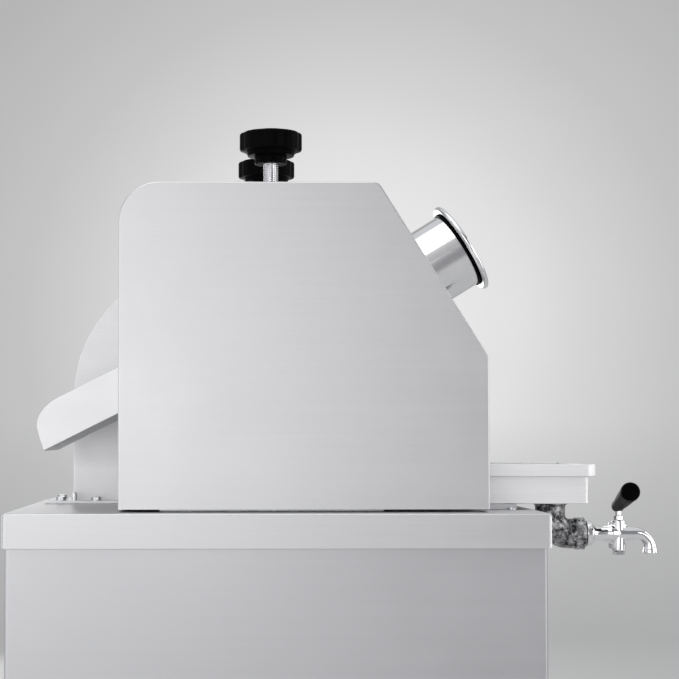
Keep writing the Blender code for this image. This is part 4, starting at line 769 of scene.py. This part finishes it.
def make_tray():
    """The juice tray, and the screws that hold its guide to the table."""
    pan = softened("juice_tray", 0.9 * MM, 3)
    show("tray_pan", pan, TRAY, "tray", ["juice_tray"], 40)
    low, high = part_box("tray_guide")
    away = 7 * MM
    places = [Vector((high.x - away, y, TABLE_Z + 0.3 * MM)) for y in (low.y - away, high.y + away)]
    heads("guide_screws", "pan", places, (0, 0, 1), 4.4 * MM, "stand")


def remeshed(name, shape, material, body, replaces, voxel, smooth=6, faces=0.5):
    """Joins overlapping closed shapes into one cast skin with filleted corners."""
    piece = show(name, shape, material, body, replaces, 60)
    remesh = piece.modifiers.new("Skin", "REMESH")
    remesh.mode = "VOXEL"
    remesh.voxel_size = voxel
    remesh.use_smooth_shade = True
    relax = piece.modifiers.new("Relax", "SMOOTH")
    relax.factor = 0.5
    relax.iterations = smooth
    fewer = piece.modifiers.new("Fewer", "DECIMATE")
    fewer.ratio = faces
    return piece


def make_elbow():
    """The cast elbow: a flange under the tray, a quarter bend, and a banded collar at the tap."""
    low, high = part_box("drain_elbow")
    radius = 16.5 * MM
    bend_r = 20 * MM
    start_x = low.x + radius
    shape = bmesh.new()
    turned(
        shape,
        [(18.8 * MM, 0), (18.8 * MM, 3 * MM), (radius, 4.5 * MM), (radius * 0.6, 4.5 * MM)],
        Vector((start_x, PRESS_Y, high.z)),
        (0, 0, -1),
        40,
        False,
    )
    path = [Vector((start_x, PRESS_Y, high.z - 1 * MM))]
    for x, z in arc(start_x + bend_r, TAP_AXIS_Z + bend_r, bend_r, 180, 270, 14):
        path.append(Vector((x, PRESS_Y, z)))
    path.append(Vector((high.x - 1 * MM, PRESS_Y, TAP_AXIS_Z)))
    swept(shape, path, radius, 40)
    for at, wide, reach in ((12, 9, 17.6), (3.4, 3, 17.9)):
        turned(
            shape,
            [
                (reach * MM - 0.8 * MM, 0),
                (reach * MM, 0.8 * MM),
                (reach * MM, wide * MM - 0.8 * MM),
                (reach * MM - 0.8 * MM, wide * MM),
            ],
            Vector((high.x - at * MM, PRESS_Y, TAP_AXIS_Z)),
            (1, 0, 0),
            40,
            False,
        )
    remeshed("elbow_casting", shape, ELBOW, "tray", ["drain_elbow"], 0.7 * MM, 4, 0.35)


def web(shape, middle, side, reach, neck_r, fill):
    """A rib beside the tap's barrel that flares from the neck to near the barrel's ends."""
    half = 3.6 * MM
    steps = 8
    rings = []
    for step in range(steps + 1):
        share = step / steps
        x = middle.x + side * (reach - (reach - 3 * MM) * share)
        above = neck_r + fill * share**2
        below = neck_r + (fill + 3 * MM) * share**2
        corners = [(-half, -below), (half, -below), (half, above), (-half, above)]
        rings.append([Vector((x, middle.y + y, middle.z + z)) for y, z in corners])
    join_rings(shape, rings)


def make_tap():
    """The chromed tap: flange, waisted neck, barrel with webs, and a swan-necked spout."""
    low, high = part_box("tap_body")
    barrel_r = 7.4 * MM
    top = high.z
    foot = TABLE_Z - 49.5 * MM
    shape = bmesh.new()
    neck = [
        (6 * MM, 0),
        (13.4 * MM, 0),
        (14.5 * MM, 0.9 * MM),
        (14.5 * MM, 6.6 * MM),
        (13.4 * MM, 7.5 * MM),
        (10.2 * MM, 8.2 * MM),
        (9.2 * MM, 11 * MM),
        (8.3 * MM, 17 * MM),
        (8.6 * MM, 24 * MM),
        (9.6 * MM, 30 * MM),
        (7.5 * MM, 36 * MM),
    ]
    turned(shape, neck, Vector((low.x, PRESS_Y, TAP_AXIS_Z)), (1, 0, 0), 40, False)
    barrel = [
        (barrel_r - 1 * MM, 0),
        (barrel_r, 0.8 * MM),
        (barrel_r, top - foot - 0.8 * MM),
        (barrel_r - 1 * MM, top - foot),
    ]
    turned(shape, barrel, Vector((BARREL_X, PRESS_Y, foot)), (0, 0, 1), 40, False)
    shroud = [
        (3 * MM, foot + 2 * MM - TAP_AXIS_Z),
        (barrel_r * 1.2, foot + 3 * MM - TAP_AXIS_Z),
        (barrel_r * 1.32, 0),
        (barrel_r * 1.2, top - 3 * MM - TAP_AXIS_Z),
        (3 * MM, top - 2 * MM - TAP_AXIS_Z),
    ]
    turned(shape, shroud, Vector((BARREL_X - 1.5 * MM, PRESS_Y + 3 * MM, TAP_AXIS_Z)), (0, 0, 1), 32, False)
    for side, reach, neck_r, fill in ((-1, 18, 8.3, 5.4), (1, 16, 6.4, 8)):
        web(shape, Vector((BARREL_X, PRESS_Y, TAP_AXIS_Z)), side, reach * MM, neck_r * MM, fill * MM)
    spout_x = high.x - 8.3 * MM
    bend_r = (spout_x - BARREL_X) * 0.48
    path = [Vector((BARREL_X, PRESS_Y, TAP_AXIS_Z)), Vector((BARREL_X + barrel_r, PRESS_Y, TAP_AXIS_Z))]
    for x, z in arc(spout_x - bend_r, TAP_AXIS_Z - bend_r, bend_r, 90, 0, 14):
        path.append(Vector((x, PRESS_Y, z)))
    path.append(Vector((spout_x, PRESS_Y, TABLE_Z - 48 * MM)))
    path.append(Vector((spout_x, PRESS_Y, TABLE_Z - 52 * MM)))

    def reach(share):
        return (6.5 + 1.8 * (2 * share - 1) ** 2) * MM

    swept(shape, path, reach, 32)
    remeshed("tap_casting", shape, CHROME, "tray", ["tap_body"], 0.55 * MM, 5, 0.35)


def make_lever():
    """The tap's black grip, with a ring where its end cap is pressed on."""
    yaw = math.radians(3)
    tilt = math.radians(14)
    along = Vector((-math.cos(tilt) * math.sin(yaw), -math.cos(tilt) * math.cos(yaw), math.sin(tilt)))
    heel = 7 * MM
    length = 83 * MM
    start = Vector((BARREL_X, PRESS_Y, TABLE_Z + 1 * MM)) - along * heel
    base = 7 * MM
    end = 10.3 * MM
    profile = [
        (base * 0.4, 0),
        (base * 0.78, 0.4 * MM),
        (base * 0.95, 1.8 * MM),
        (base, 4 * MM),
        (base, 14 * MM),
        (end * 0.84, length * 0.5),
        (end * 0.95, length * 0.84),
        (end * 0.93, length * 0.85),
        (end * 0.95, length * 0.86),
        (end, length * 0.9),
        (end, length * 0.95),
        (end * 0.93, length * 0.985),
        (end * 0.8, length),
        (end * 0.55, length * 0.997),
        (end * 0.5, length * 0.985),
        (end * 0.2, length * 0.98),
    ]
    shape = bmesh.new()
    turned(shape, profile, start, along, 48, False)
    show("lever_grip", shape, BLACK, "tap_handle", ["tap_lever"], 40)


def make_wheels():
    """The four castors' wheels and their fasteners."""
    for end in ("rear", "front"):
        for side in ("near", "far"):
            make_wheel(f"{end}_{side}")


def make_wheel(name):
    """A castor wheel with a domed tread and a plastic centre, its axle head and its fork's bolts."""
    low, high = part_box(f"castor_wheel_{name}")
    centre = (low + high) / 2
    radius = (high.z - low.z) / 2
    body = f"wheel_{name}"
    tyre_half = [
        (radius * 0.74, -11 * MM),
        (radius * 0.86, -12 * MM),
        (radius * 0.95, -10.5 * MM),
        (radius * 0.99, -6 * MM),
    ]
    tyre = bmesh.new()
    turned(tyre, [*tyre_half, (radius, 0), *mirrored(tyre_half)], centre, (0, 1, 0), 56)
    show(f"tyre_{name}", tyre, RUBBER, body, [f"castor_wheel_{name}"], 50)
    hub_half = [
        (4.3 * MM, -13.5 * MM),
        (11 * MM, -13.5 * MM),
        (12 * MM, -12.5 * MM),
        (12.5 * MM, -5 * MM),
        (radius * 0.66, -4 * MM),
        (radius * 0.72, -10 * MM),
        (radius * 0.745, -10.5 * MM),
    ]
    hub = bmesh.new()
    turned(hub, [*hub_half, *mirrored(hub_half)], centre, (0, 1, 0), 40)
    show(f"hub_{name}", hub, HUB, body)
    fork_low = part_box(f"castor_fork_{name}")[0]
    near = Vector((centre.x, fork_low.y + 2 * MM, centre.z))
    heads(f"axle_head_{name}", "hex", [near], (0, -1, 0), 11 * MM, f"fork_{name}")
    pad = 25 * MM
    middle = Vector((centre.x - 18 * MM, centre.y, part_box("cabinet_floor")[0].z))
    places = [middle + Vector((pad * i, pad * j, 0)) for i in (-1, 1) for j in (-1, 1)]
    heads(f"castor_bolts_{name}", "hex", places, (0, 0, -1), 9 * MM, "stand")


def mirrored(half):
    """The other half of a profile that is the same on both sides of its middle."""
    return [(radius, -height) for radius, height in reversed(half)]


def make_controls():
    """The switch plate with its selector and screws."""
    low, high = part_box("control_panel")
    plate = softened("control_panel", 0.8 * MM, 2)
    show("control_plate", plate, DARK, "stand", ["control_panel"])
    grip = softened("selector_knob", 0.8 * MM, 2)
    show("selector_grip", grip, BLACK, "selector", ["selector_knob"])
    edge = 5 * MM
    places = [
        Vector((x, high.y, z)) for x in (low.x + edge, high.x - edge) for z in (low.z + edge, high.z - edge)
    ]
    heads("control_screws", "pan", places, (0, 1, 0), 2.4 * MM, "stand")


def make_press_bolts():
    """Cap screws of the two press frames, under the hood."""
    for side in ("near", "far"):
        low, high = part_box(f"frame_cap_{side}")
        y = (low.y + high.y) / 2
        inset = 10 * MM
        places = [Vector((x, y, high.z)) for x in (low.x + inset, high.x - inset)]
        heads(f"cap_bolts_{side}", "hex", places, (0, 0, 1), 8 * MM, "stand")


# ---------------------------------------------------------------- stage, lights, camera

def studio_paper():
    """Pale paper: a diffuse floor with a faint glow, painted light that brightens it, and walls that glow
    softly, brightest behind the machine.
    """
    material, tree, shader = new_material("studio_paper")
    place = add(tree, "ShaderNodeTexCoord").outputs["Object"]
    axes = add(tree, "ShaderNodeSeparateXYZ", {"Vector": place})
    flat = add(tree, "ShaderNodeVectorMath", {0: place, 1: (1.0, 0.0, 1.0)}, operation="MULTIPLY")
    away = add(
        tree,
        "ShaderNodeVectorMath",
        {0: flat.outputs["Vector"], 1: (GLOW_X, 0.0, GLOW_Z)},
        operation="DISTANCE",
    )
    reach = between(tree, away.outputs["Value"], 0.0, 1.0, 0.0, GLOW_REACH)
    fall = add(tree, "ShaderNodeValToRGB", {"Fac": reach})
    ramp = fall.color_ramp
    while len(ramp.elements) < len(GLOW_FALL):
        ramp.elements.new(0.5)
    for element, (distance, level) in zip(ramp.elements, GLOW_FALL):
        element.position = distance / GLOW_REACH
        element.color = (level, level, level, 1)
    side = blended(tree, between(tree, axes.outputs["X"], 0.0, 1.0, -1.6, 1.6), FRONT_LEFT, FRONT_RIGHT)
    behind = between(tree, axes.outputs["Y"], 0.0, 1.0, -1.0, 1.0)
    wall = blended(tree, behind, side, fall.outputs["Color"])
    # The glow fades downward but not to nothing: the floor keeps a faint glow, painted light on the floor.
    height = between(tree, axes.outputs["Z"], 0.25, 0.9, 0.0, 0.8)
    grain = between(tree, even_noise(tree, 3.0, 2.0), 0.985, 1.0)
    level = summed(tree, height, grain, "MULTIPLY")
    glow = add(tree, "ShaderNodeVectorMath", {0: wall, "Scale": level}, operation="SCALE")
    tree.links.new(glow.outputs["Vector"], shader.inputs["Emission Color"])
    shader.inputs["Emission Strength"].default_value = 1.0
    pale = blended(tree, summed(tree, height, 1.0, "MULTIPLY"), FLOOR_COLOUR, (0.04, 0.04, 0.04))
    speckle = between(tree, even_noise(tree, 260.0, 2.0, 0.5, 1.0), 0.96, 1.0)
    base = add(tree, "ShaderNodeVectorMath", {0: pale, "Scale": speckle}, operation="SCALE")
    tree.links.new(base.outputs["Vector"], shader.inputs["Base Color"])
    shader.inputs["Roughness"].default_value = 0.9
    shader.inputs["Specular IOR Level"].default_value = 0.1
    return material


def make_stage():
    """A round studio bowl: a pale floor that sweeps up into a wall all about."""
    radius = 5.5
    curve = 1.2
    steps = 96
    profile = [(1.5, 0.0), (3.0, 0.0)]
    profile += [(radius - curve + u, v) for u, v in arc(0, curve, curve, -90, 0, 12)]
    profile += [(radius, 6.0)]
    shape = bmesh.new()
    loops = []
    for reach, z in profile:
        turns = [math.tau * step / steps for step in range(steps)]
        loops.append([shape.verts.new((reach * math.cos(turn), reach * math.sin(turn), z)) for turn in turns])
    for first, second in zip(loops, loops[1:]):
        for index in range(steps):
            after = (index + 1) % steps
            shape.faces.new((first[index], first[after], second[after], second[index]))
    shape.faces.new(loops[0])
    bmesh.ops.recalc_face_normals(shape, faces=shape.faces)
    mesh = bpy.data.meshes.new("studio")
    shape.to_mesh(mesh)
    shape.free()
    mesh.shade_smooth()
    mesh.materials.append(studio_paper())
    studio = bpy.data.objects.new("studio", mesh)
    bpy.context.scene.collection.objects.link(studio)


def make_light(name, place, target, width, height, radiance):
    """A soft panel that looks this bright in a mirror; the camera does not see it."""
    data = bpy.data.lights.new(name, "AREA")
    data.shape = "RECTANGLE"
    data.size = width
    data.size_y = height
    data.energy = radiance * math.pi * width * height
    light = bpy.data.objects.new(name, data)
    light.location = place
    light.rotation_euler = (Vector(target) - Vector(place)).to_track_quat("-Z", "Y").to_euler()
    light.visible_camera = False
    bpy.context.scene.collection.objects.link(light)


def make_lights():
    middle = (0, 0, 0.75)
    make_light("key_left", (-1.42, -3.3, 0.88), (0, 0, 0.77), 3.8, 1.55, 1.28)
    make_light("front_right", (2.4, -2.1, 1.0), middle, 1.4, 1.8, 2.4)
    make_light("side_left", (-3.0, 0.3, 1.1), middle, 1.4, 2.2, 1.0)
    make_light("side_right", (3.0, 0.0, 1.6), middle, 1.4, 2.6, 1.8)
    make_light("overhead", (-0.6, -1.0, 3.1), (-0.3, -0.3, 0.75), 2.4, 2.8, 1.2)
    make_light("low_back_left", (-0.9, 3.6, 0.85), (-0.3, 0, 0.64), 1.8, 0.9, 2.6)
    world = bpy.data.worlds.new("studio_air")
    world.use_nodes = True
    world.node_tree.nodes["Background"].inputs["Color"].default_value = (0.9, 0.92, 0.95, 1)
    world.node_tree.nodes["Background"].inputs["Strength"].default_value = 0.75
    bpy.context.scene.world = world
    bpy.context.scene.view_settings.view_transform = "Standard"


def make_camera():
    data = bpy.data.cameras.new("camera")
    data.sensor_width = CAMERA_SENSOR
    data.lens = CAMERA_LENS
    data.shift_x, data.shift_y = CAMERA_SHIFT
    camera = bpy.data.objects.new("camera", data)
    camera.location = CAMERA_PLACE
    camera.rotation_euler = (math.pi / 2 + CAMERA_PITCH, 0, -CAMERA_YAW)
    bpy.context.scene.collection.objects.link(camera)
    bpy.context.scene.camera = camera


dress_nodes()
make_hood()
make_table()
make_cabinet()
make_vent_screws()
make_hinge_screws()
make_gear_case()
make_chute()
make_feed_tube()
make_knobs()
make_tray()
make_elbow()
make_tap()
make_lever()
make_wheels()
make_controls()
make_press_bolts()
make_stage()
make_lights()
make_camera()
